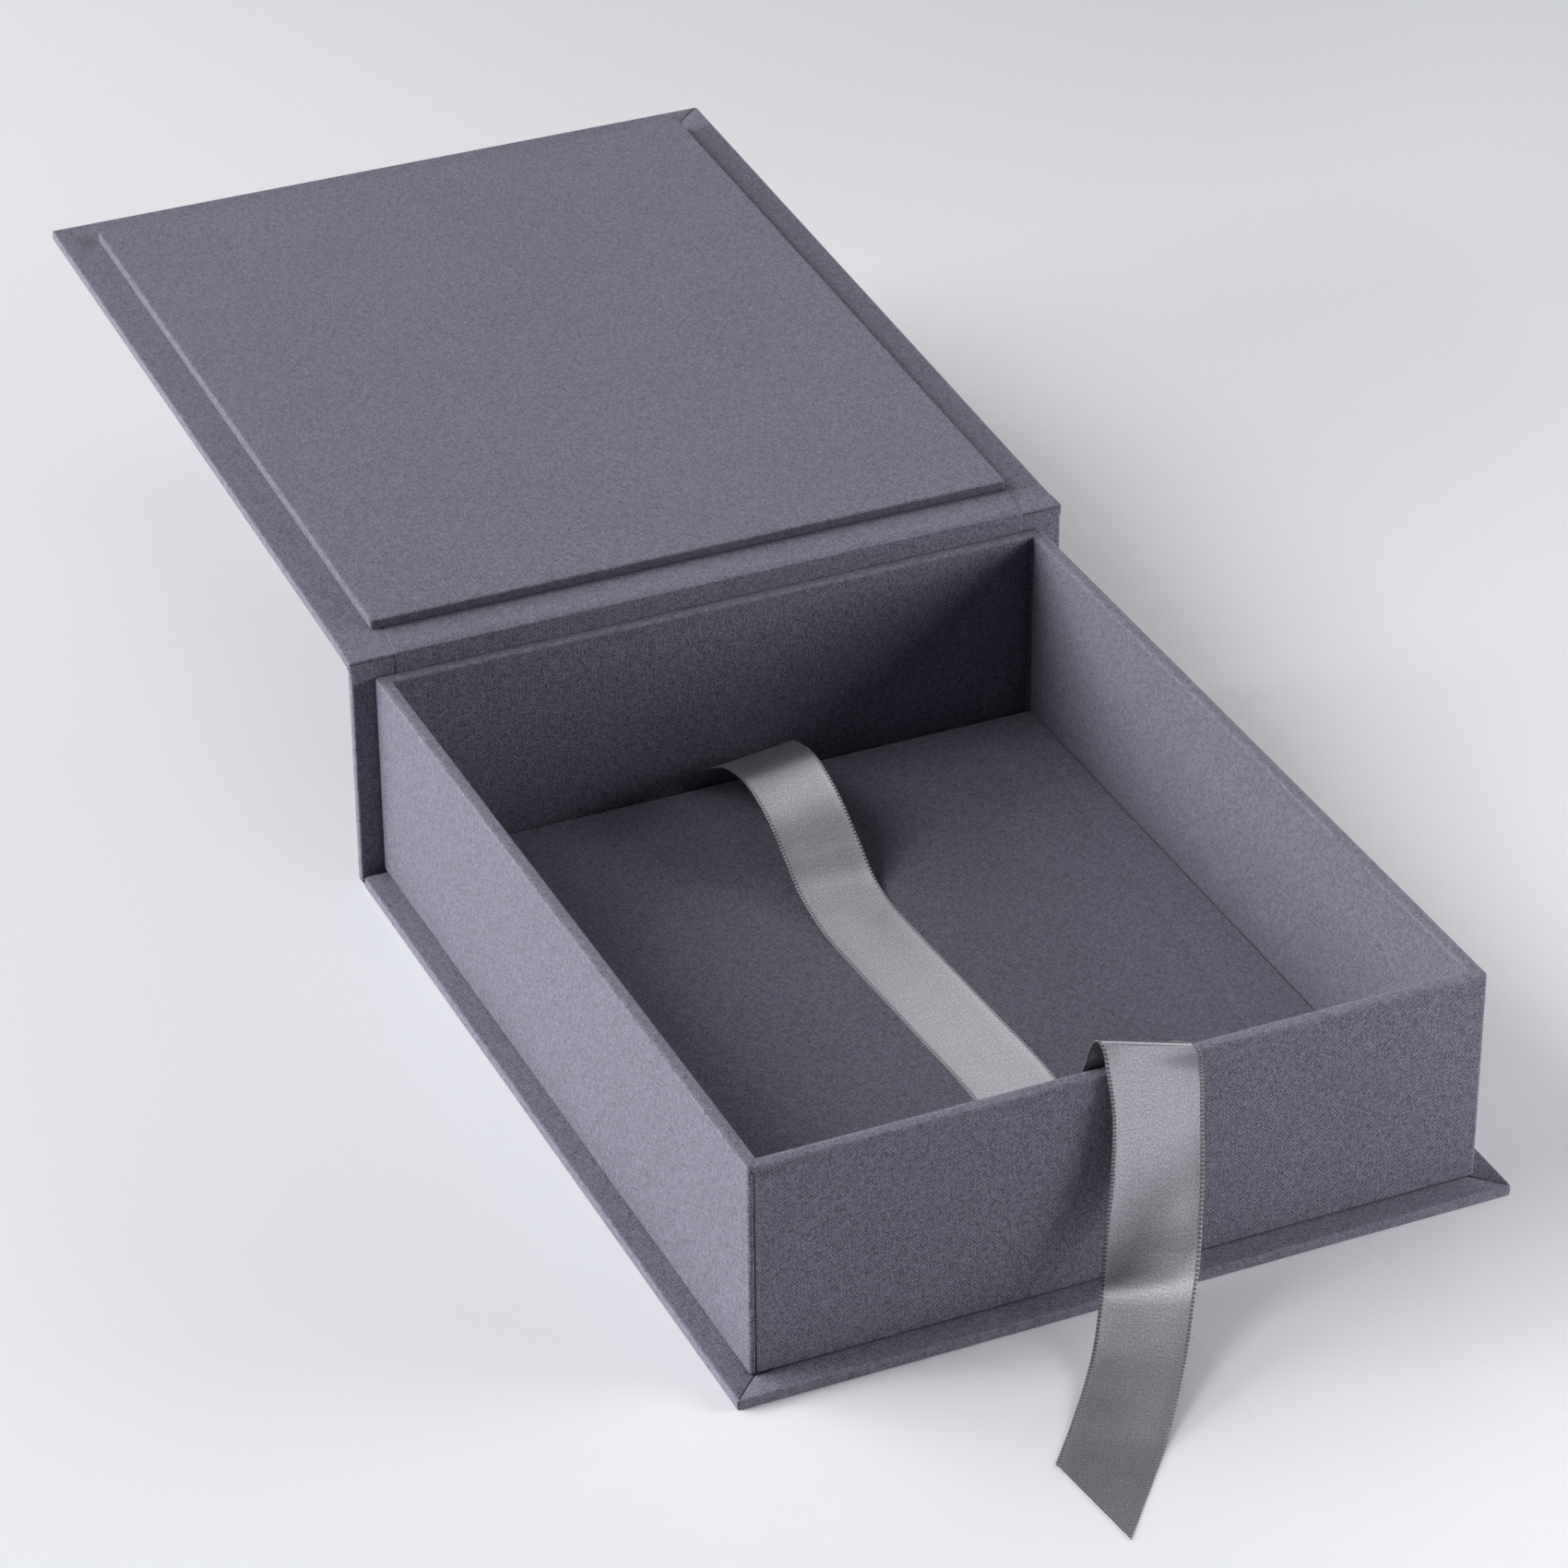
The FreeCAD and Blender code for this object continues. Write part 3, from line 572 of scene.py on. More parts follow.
def make_pad(cloth):
    low, high = (-HALF_PAD, PAD_NEAR, LID_TOP - SUNK), (HALF_PAD, PAD_FAR, PAD_TOP)
    bm = slab(low, high, 0.0011, 0.0008, 0.0009, 4)
    grid(bm, low, high, 0.009, 0.0014)
    mark_wear_and_highlight(bm, low, high, 0.0009, 0.5)
    # painted shade in the fold under the board's edge, and on its near face, which looks away from the light
    layer = bm.verts.layers.float.new("crease")
    for vert in bm.verts:
        if vert.co.z < LID_TOP + 0.0004:
            vert[layer] = 1.0
        elif vert.co.y < PAD_NEAR + 0.0002:
            vert[layer] = 0.65
    box_uv(bm)
    piece(bm, "lid_liner_cloth", cloth, ["lid_pad_cloth"], LID, LID_PLACE)


# ---------------------------------------------------------------- cloth over the hinge

# Blend line of the joint: nothing moves up to BEND_START, all of it by BEND_END.
BEND_START = Vector((0, 0.13937, 0.07197))
BEND_END = Vector((0, 0.14007, 0.07368))


def extrude_across(sections, root):
    """Closed skin through sections, each (x, list of (y, z)), its ends fans round the point numbered root."""
    bm = bmesh.new()
    bm.verts.layers.float.new("crease")
    rings = [[bm.verts.new((x, y, z)) for y, z in points] for x, points in sections]
    bm.verts.index_update()
    skin(bm, rings)
    count = len(rings[0])
    for step in range(1, count - 1):
        i, j = (root + step) % count, (root + step + 1) % count
        bm.faces.new((rings[0][root], rings[0][i], rings[0][j]))
        bm.faces.new((rings[-1][root], rings[-1][j], rings[-1][i]))
    bm.normal_update()
    return bm


def on_lid(y, z):
    """A point of the lid's own frame, in the object's."""
    point = LID_PLACE @ Vector((0, y, z))
    return point.y, point.z


def joint_section(shrink, low):
    """Fold at one x, with the fine groove that the turned-in cloth leaves along its front edge."""
    top_far = on_lid(LID_NEAR + 0.0008, LID_TOP - shrink)
    under_far = on_lid(LID_NEAR + 0.0008, LID_UNDER + 0.00025 + shrink)
    return [
        (0.13674 + shrink, low),
        (0.13667 + shrink, low + 0.00008),
        (0.13665 + shrink, 0.07385),
        (0.13695 + shrink, 0.07410),
        (0.13662 + shrink, 0.07432),
        (0.13664 + shrink, 0.07480 - shrink),
        (0.13695 + shrink, 0.07500 - shrink),
        (0.1418, top_far[1] - 0.00003),
        top_far,
        under_far,
        (0.13935, SPINE_TOP + shrink),
        (0.13930, low),
    ]


# numbers of the section's points in the groove, and on the spine's outer top edge, where the cloth bends
GROOVE_INDEX = 3
ROOT_INDEX = 10
# half the width at each end ring, how much its section shrinks, and its lowest height
HALF_JOINT = HALF_CASE + 0.0003
JOINT_ENDS = [
    (HALF_JOINT, 0.0005, 0.0717),
    (HALF_JOINT - 0.0002, 0.00018, 0.0715),
    (HALF_JOINT - 0.0006, 0.0, 0.0713),
]
JOINT_PLACES = (-0.1128, -0.1008, -0.0990, -0.050, 0.050, 0.1012, 0.1020, 0.1128)
JOINT_LOW = 0.0712


def make_joint(cloth):
    """The turned-in case cloth where it crosses from the spine to the lid."""
    sections = [(-x, joint_section(shrink, low)) for x, shrink, low in JOINT_ENDS]
    sections += [(x, joint_section(0.0, JOINT_LOW)) for x in JOINT_PLACES]
    sections += [(x, joint_section(shrink, low)) for x, shrink, low in reversed(JOINT_ENDS)]
    bm = extrude_across(sections, ROOT_INDEX)
    # painted shade along the groove
    layer = bm.verts.layers.float["crease"]
    for vert in bm.verts:
        ring, place = divmod(vert.index, len(sections[0][1]))
        if place == GROOVE_INDEX and 0 < ring < len(sections) - 1:
            vert[layer] = 1.0
    box_uv(bm)
    obj = piece(bm, "hinge_cloth", cloth, ["hinge_joint_cloth"], sharp=30)
    # the fold's end caps, its only triangles, double over as the lid closes, so they are shaded flat
    for polygon in obj.data.polygons:
        polygon.use_smooth = len(polygon.vertices) > 3
    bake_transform(obj, CASE_AND_TRAY, LID, BEND_START, BEND_END)


LINING_THICK = 0.00030
# left and right edge of the lining, each on the spine and on the lid, and the stretch between these
LINING_LEFT = (-0.1003, -0.0984)
LINING_RIGHT = (0.1008, 0.1026)
LINING_BEND, LINING_TRAVEL = 0.1364, 0.015
# painted shadow by the number of the point in the section: beside the liner, and under it
LINING_SHADOW = {7: 0.1, 8: 0.9, 9: 1.0}
# share of the width, step past it, share of the thickness, paler thread, painted shadow
LINING_STATIONS = [
    (-1, -0.00034, 0.08, 0.0, 1.0),
    (-1, 0.0, 0.75, 1.0, 0.2),
    (-1, 0.00010, 1.0, 1.0, 0.0),
    (-1, 0.00045, 1.0, 0.0, 0.0),
    (-0.5, 0.0, 1.0, 0.0, 0.0),
    (0, 0.0, 1.0, 0.0, 0.0),
    (0.5, 0.0, 1.0, 0.0, 0.0),
    (1, -0.00045, 1.0, 0.0, 0.0),
    (1, -0.00010, 1.0, 1.0, 0.0),
    (1, 0.0, 0.75, 1.0, 0.2),
    (1, 0.00022, 0.08, 0.0, 0.6),
]


def lining_section():
    """Path of the lining: up the spine, over the crease, along the lid, under the liner, and back beneath."""
    outer = [(0.13640, 0.0600), (0.13640, 0.0719), (0.13638, 0.07474), (0.13646, 0.07503), (0.13672, 0.07518),
             (0.1406, 0.07528)]
    back = [(0.13674, 0.0600), (0.13674, 0.0719), (0.13672, 0.07460), (0.13680, 0.07480), (0.13700, 0.07490),
            (0.1406, 0.07496)]
    for y in (0.0052, 0.0112, 0.0132, 0.0200):
        outer.append(on_lid(y, LID_TOP + LINING_THICK))
        back.append(on_lid(y, LID_TOP - SUNK))
    return outer + back[::-1]


def make_lining(cloth):
    """The strip of cloth glued over the joint inside: raw side edges, a painted line of shadow beside them."""
    bm = bmesh.new()
    wear_and_highlight = bm.verts.layers.float.new("wear_and_highlight")
    crease = bm.verts.layers.float.new("crease")
    rings = []
    points = lining_section()
    half_count = len(points) // 2
    for share, step, thick, pale, dark in LINING_STATIONS:
        ring = []
        for index, (y, z) in enumerate(points):
            travel = min(max((y - LINING_BEND) / LINING_TRAVEL, 0.0), 1.0)
            left = LINING_LEFT[0] + (LINING_LEFT[1] - LINING_LEFT[0]) * travel
            right = LINING_RIGHT[0] + (LINING_RIGHT[1] - LINING_RIGHT[0]) * travel
            x = left + (right - left) * (share + 1) / 2 + step
            if index < half_count:
                back_y, back_z = points[-1 - index]
                y, z = back_y + (y - back_y) * thick, back_z + (z - back_z) * thick
            vert = bm.verts.new((x, y, z))
            vert[wear_and_highlight] = pale
            vert[crease] = max(dark, LINING_SHADOW.get(index, 0.0))
            ring.append(vert)
        rings.append(ring)
    skin(bm, rings)
    bm.faces.new(rings[0])
    bm.faces.new(list(reversed(rings[-1])))
    box_uv(bm)
    replaced = ["hinge_lining_spine", "hinge_lining_fold", "hinge_lining_lid"]
    obj = piece(bm, "hinge_lining_cloth", cloth, replaced)
    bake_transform(obj, CASE_AND_TRAY, LID, BEND_START, BEND_END)


# ---------------------------------------------------------------- tray

CORNER_STEPS, SIDE_STEPS = 4, 16
# the first point past a corner, as a share of the side
BESIDE_CORNER = 0.0018
TRAY_EDGE = 0.0007
TRAY_CORNER, TIGHTEST_CORNER = 0.0010, 0.00025


def rounded_ring(inset, radius):
    """Plan of the tray's wall at one inset: corner arcs and evenly spread points between them."""
    left, right = -HALF_TRAY + inset, HALF_TRAY - inset
    front, back = TRAY_FRONT + inset, TRAY_BACK - inset
    centres = [(left + radius, front + radius, 180), (right - radius, front + radius, 270),
               (right - radius, back - radius, 0), (left + radius, back - radius, 90)]
    shares = [BESIDE_CORNER] + [step / SIDE_STEPS for step in range(1, SIDE_STEPS)] + [1 - BESIDE_CORNER]
    points = []
    for index, (x, y, start) in enumerate(centres):
        for step in range(CORNER_STEPS + 1):
            angle = math.radians(start + 90 * step / CORNER_STEPS)
            points.append((x + radius * math.cos(angle), y + radius * math.sin(angle)))
        x2, y2, start2 = centres[(index + 1) % 4]
        last = points[-1]
        angle = math.radians(start2)
        ahead = (x2 + radius * math.cos(angle), y2 + radius * math.sin(angle))
        for share in shares:
            points.append((last[0] + (ahead[0] - last[0]) * share, last[1] + (ahead[1] - last[1]) * share))
    return points


def wall_section():
    """(inset, height) around the wall: outside up, over the top, inside down."""
    edge, top, low = TRAY_EDGE, WALL_TOP, CASE_THICK + 0.00002
    rows = (0.020, 0.036, 0.052)
    points = [(0.0010, low), (0.0005, low + 0.0001), (0.0001, low + 0.0005)]
    points += [(0.0, low + 0.0009), (0.0, low + 0.0012)] + [(0.0, z) for z in rows]
    points += [(0.0, top - edge - 0.0003), (0.0, top - edge)]
    for degrees in (30, 60, 90):
        angle = math.radians(degrees)
        points.append((edge - edge * math.cos(angle), top - edge + edge * math.sin(angle)))
    points.append((WALL / 2, top + 0.00005))
    for degrees in (0, 30, 60):
        angle = math.radians(degrees)
        points.append((WALL - edge + edge * math.sin(angle), top - edge + edge * math.cos(angle)))
    points += [(WALL, top - edge), (WALL, top - edge - 0.0003)] + [(WALL, z) for z in reversed(rows)]
    return points + [(WALL, 0.0064)]


def tray_corner(x, y, inset):
    """The point on top of the wall that lies inset from both sides of the corner at x, y = -1 or 1."""
    return Vector((x * (HALF_TRAY - inset), TRAY_FRONT + inset if y < 0 else TRAY_BACK - inset, WALL_TOP))


def make_tray(cloth):
    bm = bmesh.new()
    wear_and_highlight = bm.verts.layers.float.new("wear_and_highlight")
    crease = bm.verts.layers.float.new("crease")
    rings = []
    section = wall_section()
    for inset, z in section:
        radius = max(TRAY_CORNER - inset, TIGHTEST_CORNER)
        rings.append([bm.verts.new((x, y, z)) for x, y in rounded_ring(inset, radius)])
    skin(bm, rings + rings[:1])
    # paler rim on the wall top: rubbed thread and a painted highlight on the rounding
    for (inset, z), ring in zip(section, rings):
        if z > WALL_TOP - 0.0009 and (inset < 0.0008 or inset > WALL - 0.0008):
            for vert in ring:
                vert[wear_and_highlight] = 1.0
    # painted shade in the joint with the base
    for ring in rings[:3]:
        for vert in ring:
            vert[crease] = 1.0
    bmesh.ops.recalc_face_normals(bm, faces=bm.faces)
    # one strip of cloth wraps the tray: its end laps round the front left corner, its seam pressed in with
    # painted shade
    seam = [(-HALF_TRAY + 0.0017, 0.0034), (-HALF_TRAY + 0.0016, 0.0640), (-HALF_TRAY + 0.0014, 0.0664),
            (-HALF_TRAY + 0.0008, 0.0680)]
    for (x1, z1), (x2, z2) in zip(seam, seam[1:]):
        score(bm, (x1, TRAY_FRONT, z1), (x2, TRAY_FRONT, z2), (0, 1, 0), 0.00045, 0.0006)
    # lapped end of the turn-in beside the inner back right corner, pressed in with painted shade
    lap_x, lap_y = HALF_TRAY - WALL - 0.0019, TRAY_BACK - WALL
    score(bm, (lap_x, lap_y, 0.0085), (lap_x, lap_y, 0.0672), (0, 1, 0), 0.0003, 0.0005)
    # snipped turn-ins meet at the inner corners and over the top edge, pressed in with painted shade
    for x, y in ((-1, -1), (1, -1), (1, 1), (-1, 1)):
        inner, outer = tray_corner(x, y, WALL - 0.0006), tray_corner(x, y, 0.0012)
        score(bm, inner, outer, (0, 0, -1), 0.00012, 0.0004)
    box_uv(bm)
    piece(bm, "tray_cloth", cloth, ["tray_wrap_cloth"], CASE_AND_TRAY)


def make_floor_lining(cloth):
    low, high = (-0.1028, -0.1274, 0.00622), (0.1028, 0.1319, FLOOR_TOP)
    bm = slab(low, high, 0.0010, 0.0005, 0.0002)
    grid(bm, low, high, 0.010)
    mark_wear_and_highlight(bm, low, high, 0.0006, 0.4)
    # faint line pressed into the card, with a little painted shade in it
    line = [(0.0940, 0.1130), (0.0878, 0.0202), (0.0798, -0.0567)]
    for (x1, y1), (x2, y2) in zip(line, line[1:]):
        score(bm, (x1, y1, FLOOR_TOP), (x2, y2, FLOOR_TOP), (0, 0, -1), 0.00012, 0.0012, 0.12)
    box_uv(bm)
    piece(bm, "floor_cloth", cloth, ["floor_lining_cloth"], CASE_AND_TRAY)


# ---------------------------------------------------------------- ribbon

INNER_BACK, INNER_FRONT = 0.1324, -0.1276
BOTTOM_TOP = 0.0062
TAB_REACH = 0.0110
LOOP_REACH, LOOP_RISE, RISE_REACH = 0.0924, 0.0220, 0.0276
ARCH_REACH, ARCH_RISE = 0.00845, 0.0091
TAIL_REACH, TAIL_DRIFT = 0.0836, 0.0616

# forward, up, sideways in widths, turn in degrees, lift of the right edge in widths
LOOP_SHARES = [
    (0.009, 0.086, 0.04, 1, 0.0),
    (0.064, 0.450, 0.08, 5, 0.0),
    (0.183, 0.832, 0.13, 9, 0.024),
    (0.260, 0.945, 0.16, 10, 0.03),
    (0.361, 1.000, 0.17, 10, 0.024),
    (0.461, 0.918, 0.18, 9, 0.0),
    (0.556, 0.750, 0.19, 7, -0.04),
    (0.670, 0.445, 0.20, 5, -0.07),
    (0.769, 0.186, 0.20, 3, -0.095),
    (0.876, 0.064, 0.205, 2, -0.07),
    (1.000, 0.022, 0.21, 1, -0.015),
]
# forward, sideways
RUN_SHARES = [(0.14, 0.245), (0.40, 0.31), (0.64, 0.35), (1.00, 0.236)]
# distance from the wall, up, sideways
RISE_SHARES = [
    (0.800, 0.003, 0.215),
    (0.565, 0.026, 0.19),
    (0.220, 0.120, 0.14),
    (0.060, 0.270, 0.10),
    (0.012, 0.420, 0.08),
    (0.0, 0.600, 0.07),
    (0.0, 0.885, 0.07),
    (0.0, 1.0, 0.07),
]
# forward, up, sideways, turn, lift
ARCH_SHARES = [
    (0.0, 0.0, 0.07, 0, 0.0),
    (0.059, 0.286, 0.098, -1.5, -0.016),
    (0.320, 0.604, 0.114, -10.5, -0.047),
    (0.805, 1.0, 0.130, -23, -0.047),
    (0.982, 0.714, 0.189, -22, -0.031),
    (1.0, 0.0, 0.228, -13, 0.0),
]
# forward, up, share of the drift to the left, turn, lift
TAIL_SHARES = [
    (0.0, 1.0, 0.0, -13, 0.0),
    (0.006, 0.902, -0.011, -9, -0.02),
    (0.017, 0.809, -0.010, -6, -0.04),
    (0.033, 0.691, -0.003, -8, -0.04),
    (0.065, 0.531, 0.020, -13, -0.04),
    (0.102, 0.402, 0.055, -20, 0.0),
    (0.151, 0.274, 0.097, -29, 0.05),
    (0.214, 0.167, 0.156, -38, 0.118),
    (0.350, 0.077, 0.279, -41, 0.138),
    (0.476, 0.035, 0.406, -40, 0.102),
    (0.591, 0.012, 0.529, -39, 0.035),
    (0.707, 0.0, 0.659, -39, 0.0),
    (1.0, 0.0, 1.0, -39, 0.0),
]
CURVE_STEPS = 24
ROW_STEP = STITCH / 4


def ribbon_rows():
    """The ribbon's stations in four stretches: x, y, z, turn, lift."""
    x = LOOP_SHARES[0][2] * RIBBON_WIDTH
    behind = INNER_BACK - RIBBON_THICK / 2 - RIBBON_EASE
    under = BOTTOM_TOP + RIBBON_THICK / 2
    tab = [(behind - TAB_REACH, under), (behind - 0.0005, under), (behind, BOTTOM_TOP + 0.0006),
           (behind, FLOOR_TOP)]
    loop = [(x, y, z, 0, 0.0) for y, z in tab]
    loop += [(side * RIBBON_WIDTH, INNER_BACK - forward * LOOP_REACH, FLOOR_TOP + up * LOOP_RISE, turn, lift)
             for forward, up, side, turn, lift in LOOP_SHARES]
    resting = FLOOR_TOP + RIBBON_THICK / 2 + RIBBON_EASE
    wall = INNER_FRONT + RIBBON_THICK / 2 + RIBBON_EASE
    leave = INNER_FRONT + RISE_REACH
    start = loop[-1]
    run = [start]
    for share, side in RUN_SHARES:
        run.append((side * RIBBON_WIDTH, start[1] + (leave - start[1]) * share, resting, 0, 0.0))
    for inward, up, side in RISE_SHARES:
        y, z = wall + (leave - wall) * inward, resting + (WALL_TOP - resting) * up
        run.append((side * RIBBON_WIDTH, y, z, 0, 0.0))
    arch = [(side * RIBBON_WIDTH, wall - out * ARCH_REACH, WALL_TOP + up * ARCH_RISE, turn, lift)
            for out, up, side, turn, lift in ARCH_SHARES]
    hang = arch[-1]
    rest = RIBBON_THICK / 2
    tail = [(hang[0] - aside * TAIL_DRIFT, hang[1] - out * TAIL_REACH, rest + (hang[2] - rest) * up, turn, lift)
            for out, up, aside, turn, lift in TAIL_SHARES]
    return [loop, run, arch, tail]


def between(rows, steps):
    """Catmull-Rom rows through the stations."""
    out = []
    for index in range(len(rows) - 1):
        before, start = rows[max(index - 1, 0)], rows[index]
        end, after = rows[index + 1], rows[min(index + 2, len(rows) - 1)]
        for step in range(steps):
            t = step / steps
            point = []
            for a, b, c, d in zip(before, start, end, after):
                value = 2 * b + (c - a) * t + (2 * a - 5 * b + 4 * c - d) * t ** 2
                point.append((value + (3 * b - a - 3 * c + d) * t ** 3) / 2)
            out.append(tuple(point))
    out.append(rows[-1])
    return out


def even(rows, step):
    """The same line with rows an even distance apart, and its length."""
    dist = [0.0]
    for first, second in zip(rows, rows[1:]):
        dist.append(dist[-1] + math.dist(first[:3], second[:3]))
    count = max(2, round(dist[-1] / step))
    out = []
    index = 0
    for i in range(count + 1):
        want = dist[-1] * i / count
        while index < len(rows) - 2 and dist[index + 1] < want:
            index += 1
        span = dist[index + 1] - dist[index]
        t = (want - dist[index]) / span if span > 0 else 0.0
        out.append(tuple(a + (b - a) * t for a, b in zip(rows[index], rows[index + 1])))
    return out, dist[-1]


ACROSS = (-1.0, -0.985, -0.955, -0.925, -0.9, -0.6, -0.3, 0.0, 0.3, 0.6, 0.9, 0.925, 0.955, 0.985, 1.0)
# the selvage's thicker band, in shares of half the width, and how much each side swells there
SWELL_FROM, SWELL_TO, SWELL = 0.925, 0.985, 0.00005
# how far the stitches push the edge out and in
SCALLOP = 0.00010
# shares of the ribbon's thickness that the cloth and its very edge have
BODY_SHARE, EDGE_SHARE = 0.72, 0.45


def make_strip(rows, before, after, travelled):
    """One stretch of ribbon: a thin closed strip with thicker, stitched edges."""
    bm = bmesh.new()
    uv = bm.loops.layers.uv.new("UVMap")
    dull_back_and_shade = bm.verts.layers.float.new("dull_back_and_shade")
    half = RIBBON_WIDTH / 2
    tops, bottoms = [], []
    marks = {}
    length = len(rows)
    for index, (x, y, z, turn, lift) in enumerate(rows):
        middle = Vector((x, y, z))
        past = rows[index - 1] if index else before
        coming = rows[index + 1] if index < length - 1 else after
        ahead = ((middle - Vector(past[:3])).normalized() if past else Vector()) + (
            (Vector(coming[:3]) - middle).normalized() if coming else Vector())
        ahead.normalize()
        level = math.sqrt(max(0.0, 1 - lift ** 2))
        angle = math.radians(turn)
        across = Vector((math.cos(angle) * level, math.sin(angle) * level, lift))
        normal = across.cross(ahead).normalized()
        v = travelled + index * ROW_STEP
        top, bottom = [], []
        for share in ACROSS:
            rim = abs(share) == 1.0
            swell = SWELL if SWELL_FROM <= abs(share) <= SWELL_TO else 0.0
            scallop = SCALLOP * math.sin(2 * math.pi * v / STITCH) if rim else 0.0
            thick = RIBBON_THICK * EDGE_SHARE / 2 if rim else RIBBON_THICK * BODY_SHARE / 2 + swell
            place = middle + across * (share * (half - SCALLOP) + math.copysign(scallop, share))
            for side, line in ((1, top), (-1, bottom)):
                vert = bm.verts.new(place + normal * (thick * side))
                marks[vert] = (share * half, v)
                # the dull back of the satin is the side that lies on the box, darkened further as painted shade
                vert[dull_back_and_shade] = 1.0 if side == 1 and not rim else 0.0
                line.append(vert)
        tops.append(top)
        bottoms.append(bottom)

    def face(*verts):
        made = bm.faces.new(verts)
        for loop in made.loops:
            loop[uv].uv = marks[loop.vert]

    for i in range(length - 1):
        for j in range(len(ACROSS) - 1):
            face(tops[i][j], tops[i + 1][j], tops[i + 1][j + 1], tops[i][j + 1])
            face(bottoms[i][j], bottoms[i][j + 1], bottoms[i + 1][j + 1], bottoms[i + 1][j])
        face(tops[i][0], bottoms[i][0], bottoms[i + 1][0], tops[i + 1][0])
        face(tops[i][-1], tops[i + 1][-1], bottoms[i + 1][-1], bottoms[i][-1])
    for j in range(len(ACROSS) - 1):
        face(tops[0][j], tops[0][j + 1], bottoms[0][j + 1], bottoms[0][j])
    for j in range(len(ACROSS) - 1):
        face(tops[-1][j], bottoms[-1][j], bottoms[-1][j + 1], tops[-1][j + 1])
    return bm


def cut_end(bm, last):
    """Slants the tail's end at 45 degrees, its left edge shorter by one width."""
    x, y, z, turn, _ = last
    angle = math.radians(turn)
    across = Vector((math.cos(angle), math.sin(angle), 0))
    heading = Vector((across.y, -across.x, 0))
    tip = Vector((x, y, z)) + across * (RIBBON_WIDTH / 2)
    normal = (heading - across).normalized()
    out = bmesh.ops.bisect_plane(bm, geom=everything(bm), dist=TINY, plane_co=tip, plane_no=normal,
                                 clear_outer=True)
    edges = [g for g in out["geom_cut"] if isinstance(g, bmesh.types.BMEdge)]
    bmesh.ops.holes_fill(bm, edges=edges)


def make_ribbon(satin_cloth):
    """The ribbon as one smooth line, parted where the closing lid presses its arch flat."""
    loop, run, arch, tail = ribbon_rows()
    inside = loop + run[1:]
    stations = inside + arch[1:] + tail[1:]
    smooth = between(stations, CURVE_STEPS)
    first, second = (len(inside) - 1) * CURVE_STEPS, (len(inside) + len(arch) - 2) * CURVE_STEPS
    stretches = [
        ("ribbon_satin_inside", smooth[:first + 1], ["ribbon_loop", "ribbon_run"], "laid", ["floor_cloth"]),
        ("ribbon_satin_arch", smooth[first:second + 1], ["ribbon_arch"], "draped", ["tray_cloth"]),
        ("ribbon_satin_tail", smooth[second:], ["ribbon_tail"], "hung", ["ribbon_satin_arch"]),
    ]
    strips = [even(rows, ROW_STEP) for _, rows, *_ in stretches]
    travelled = 0.0
    for index, (name, _, replaced, held, rests) in enumerate(stretches):
        rows, length = strips[index]
        before = strips[index - 1][0][-2] if index > 0 else None
        after = strips[index + 1][0][1] if index < len(strips) - 1 else None
        bm = make_strip(rows, before, after, travelled)
        if index == len(strips) - 1:
            cut_end(bm, stations[-1])
        obj = piece(bm, name, satin_cloth, replaced, CASE_AND_TRAY, sharp=75)
        if "ribbon_arch" in replaced:
            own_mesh(obj)
        travelled += length


# ---------------------------------------------------------------- boards, floor and light

FLOOR_HALF, FLOOR_STEPS, FLOOR_DROP = 6.0, 24, 0.00005
WORLD_STRENGTH = 0.02
MIDDLE = (0, 0, 0.05)
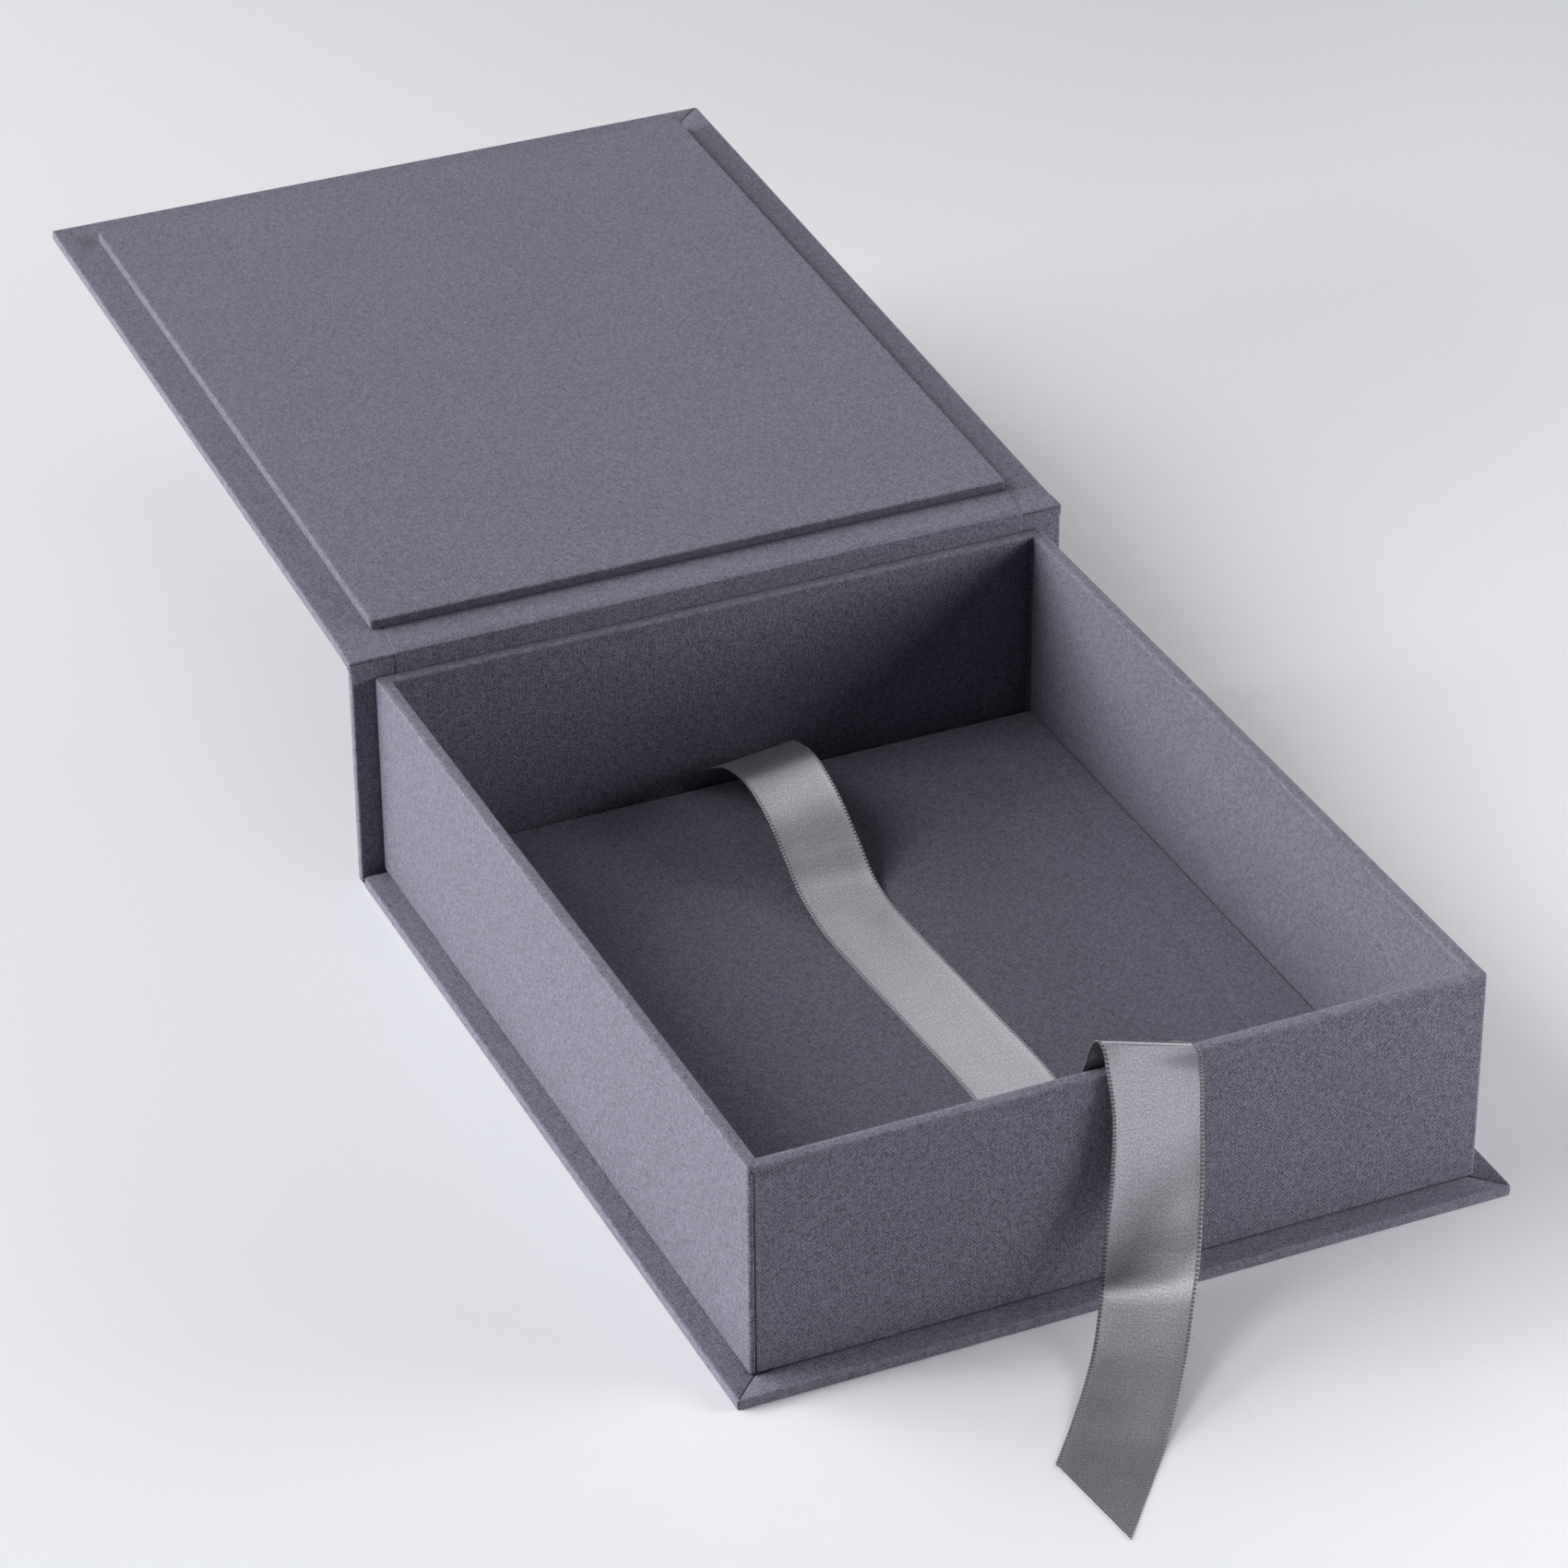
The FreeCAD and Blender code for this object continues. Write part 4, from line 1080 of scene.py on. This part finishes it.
# name, place, what it is aimed at, size, watts
LIGHTS = [
    ("left_low_bank", (-2.4, 0.53, 0.60), MIDDLE, (0.67, 0.67), 46),
    ("left_back_low_bank", (-2.4, 1.28, 0.60), MIDDLE, (1.35, 0.9), 29),
    ("left_back_bank", (-2.1, 2.15, 2.0), MIDDLE, (1.6, 1.6), 50),
    ("left_high_bank", (-2.3, 0.45, 2.3), MIDDLE, (1.5, 1.5), 42),
    ("back_bank", (-1.0, 2.6, 1.8), MIDDLE, (1.6, 1.2), 13),
    ("right_back_bank", (2.2, 2.2, 1.6), MIDDLE, (1.5, 1.5), 4),
    ("top_bank", (0.0, 0.3, 3.2), (0, 0, 0), (2.0, 2.0), 8),
    ("front_right_high_card", (0.7, -0.8, 1.6), MIDDLE, (0.8, 0.8), 1.2),
    ("near_right_card", (0.75, -0.35, 0.30), (0.1, -0.1, 0.05), (0.5, 0.4), 5.2),
    ("low_right_card", (0.55, -0.55, 0.12), (0.05, -0.13, 0.05), (0.35, 0.2), 2.1),
]


def dress_boards(board):
    for name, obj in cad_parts.items():
        if name.endswith("_board"):
            obj.data.materials.clear()
            obj.data.materials.append(board)


def area_light(name, place, target, size, power):
    data = bpy.data.lights.new(name, "AREA")
    data.shape = "RECTANGLE"
    data.size, data.size_y = size
    data.energy = power
    light = bpy.data.objects.new(name, data)
    bpy.context.scene.collection.objects.link(light)
    place = Vector(place)
    look = (Vector(target) - place).normalized()
    light.matrix_world = Matrix.Translation(place) @ look.to_track_quat("-Z", "Y").to_matrix().to_4x4()


def make_stage():
    bm = bmesh.new()
    bmesh.ops.create_grid(bm, x_segments=FLOOR_STEPS, y_segments=FLOOR_STEPS, size=FLOOR_HALF)
    for vert in bm.verts:
        vert.co.z = -FLOOR_DROP
    mesh = bpy.data.meshes.new("table_top")
    bm.to_mesh(mesh)
    bm.free()
    mesh.materials.append(floor_material())
    floor = bpy.data.objects.new("table_top", mesh)
    bpy.context.scene.collection.objects.link(floor)
    world = bpy.data.worlds.new("studio")
    bpy.context.scene.world = world
    world.use_nodes = True
    back = world.node_tree.nodes["Background"]
    back.inputs["Color"].default_value = linear(236, 238, 244)
    back.inputs["Strength"].default_value = WORLD_STRENGTH
    for light in LIGHTS:
        area_light(*light)


make_camera()
cloth = book_cloth()
make_base(cloth)
make_spine(cloth)
make_lid(cloth)
make_pad(cloth)
make_joint(cloth)
make_lining(cloth)
make_tray(cloth)
make_floor_lining(cloth)
make_ribbon(satin())
dress_boards(grey_board())
make_stage()
bpy.context.scene.view_settings.view_transform = "Standard"
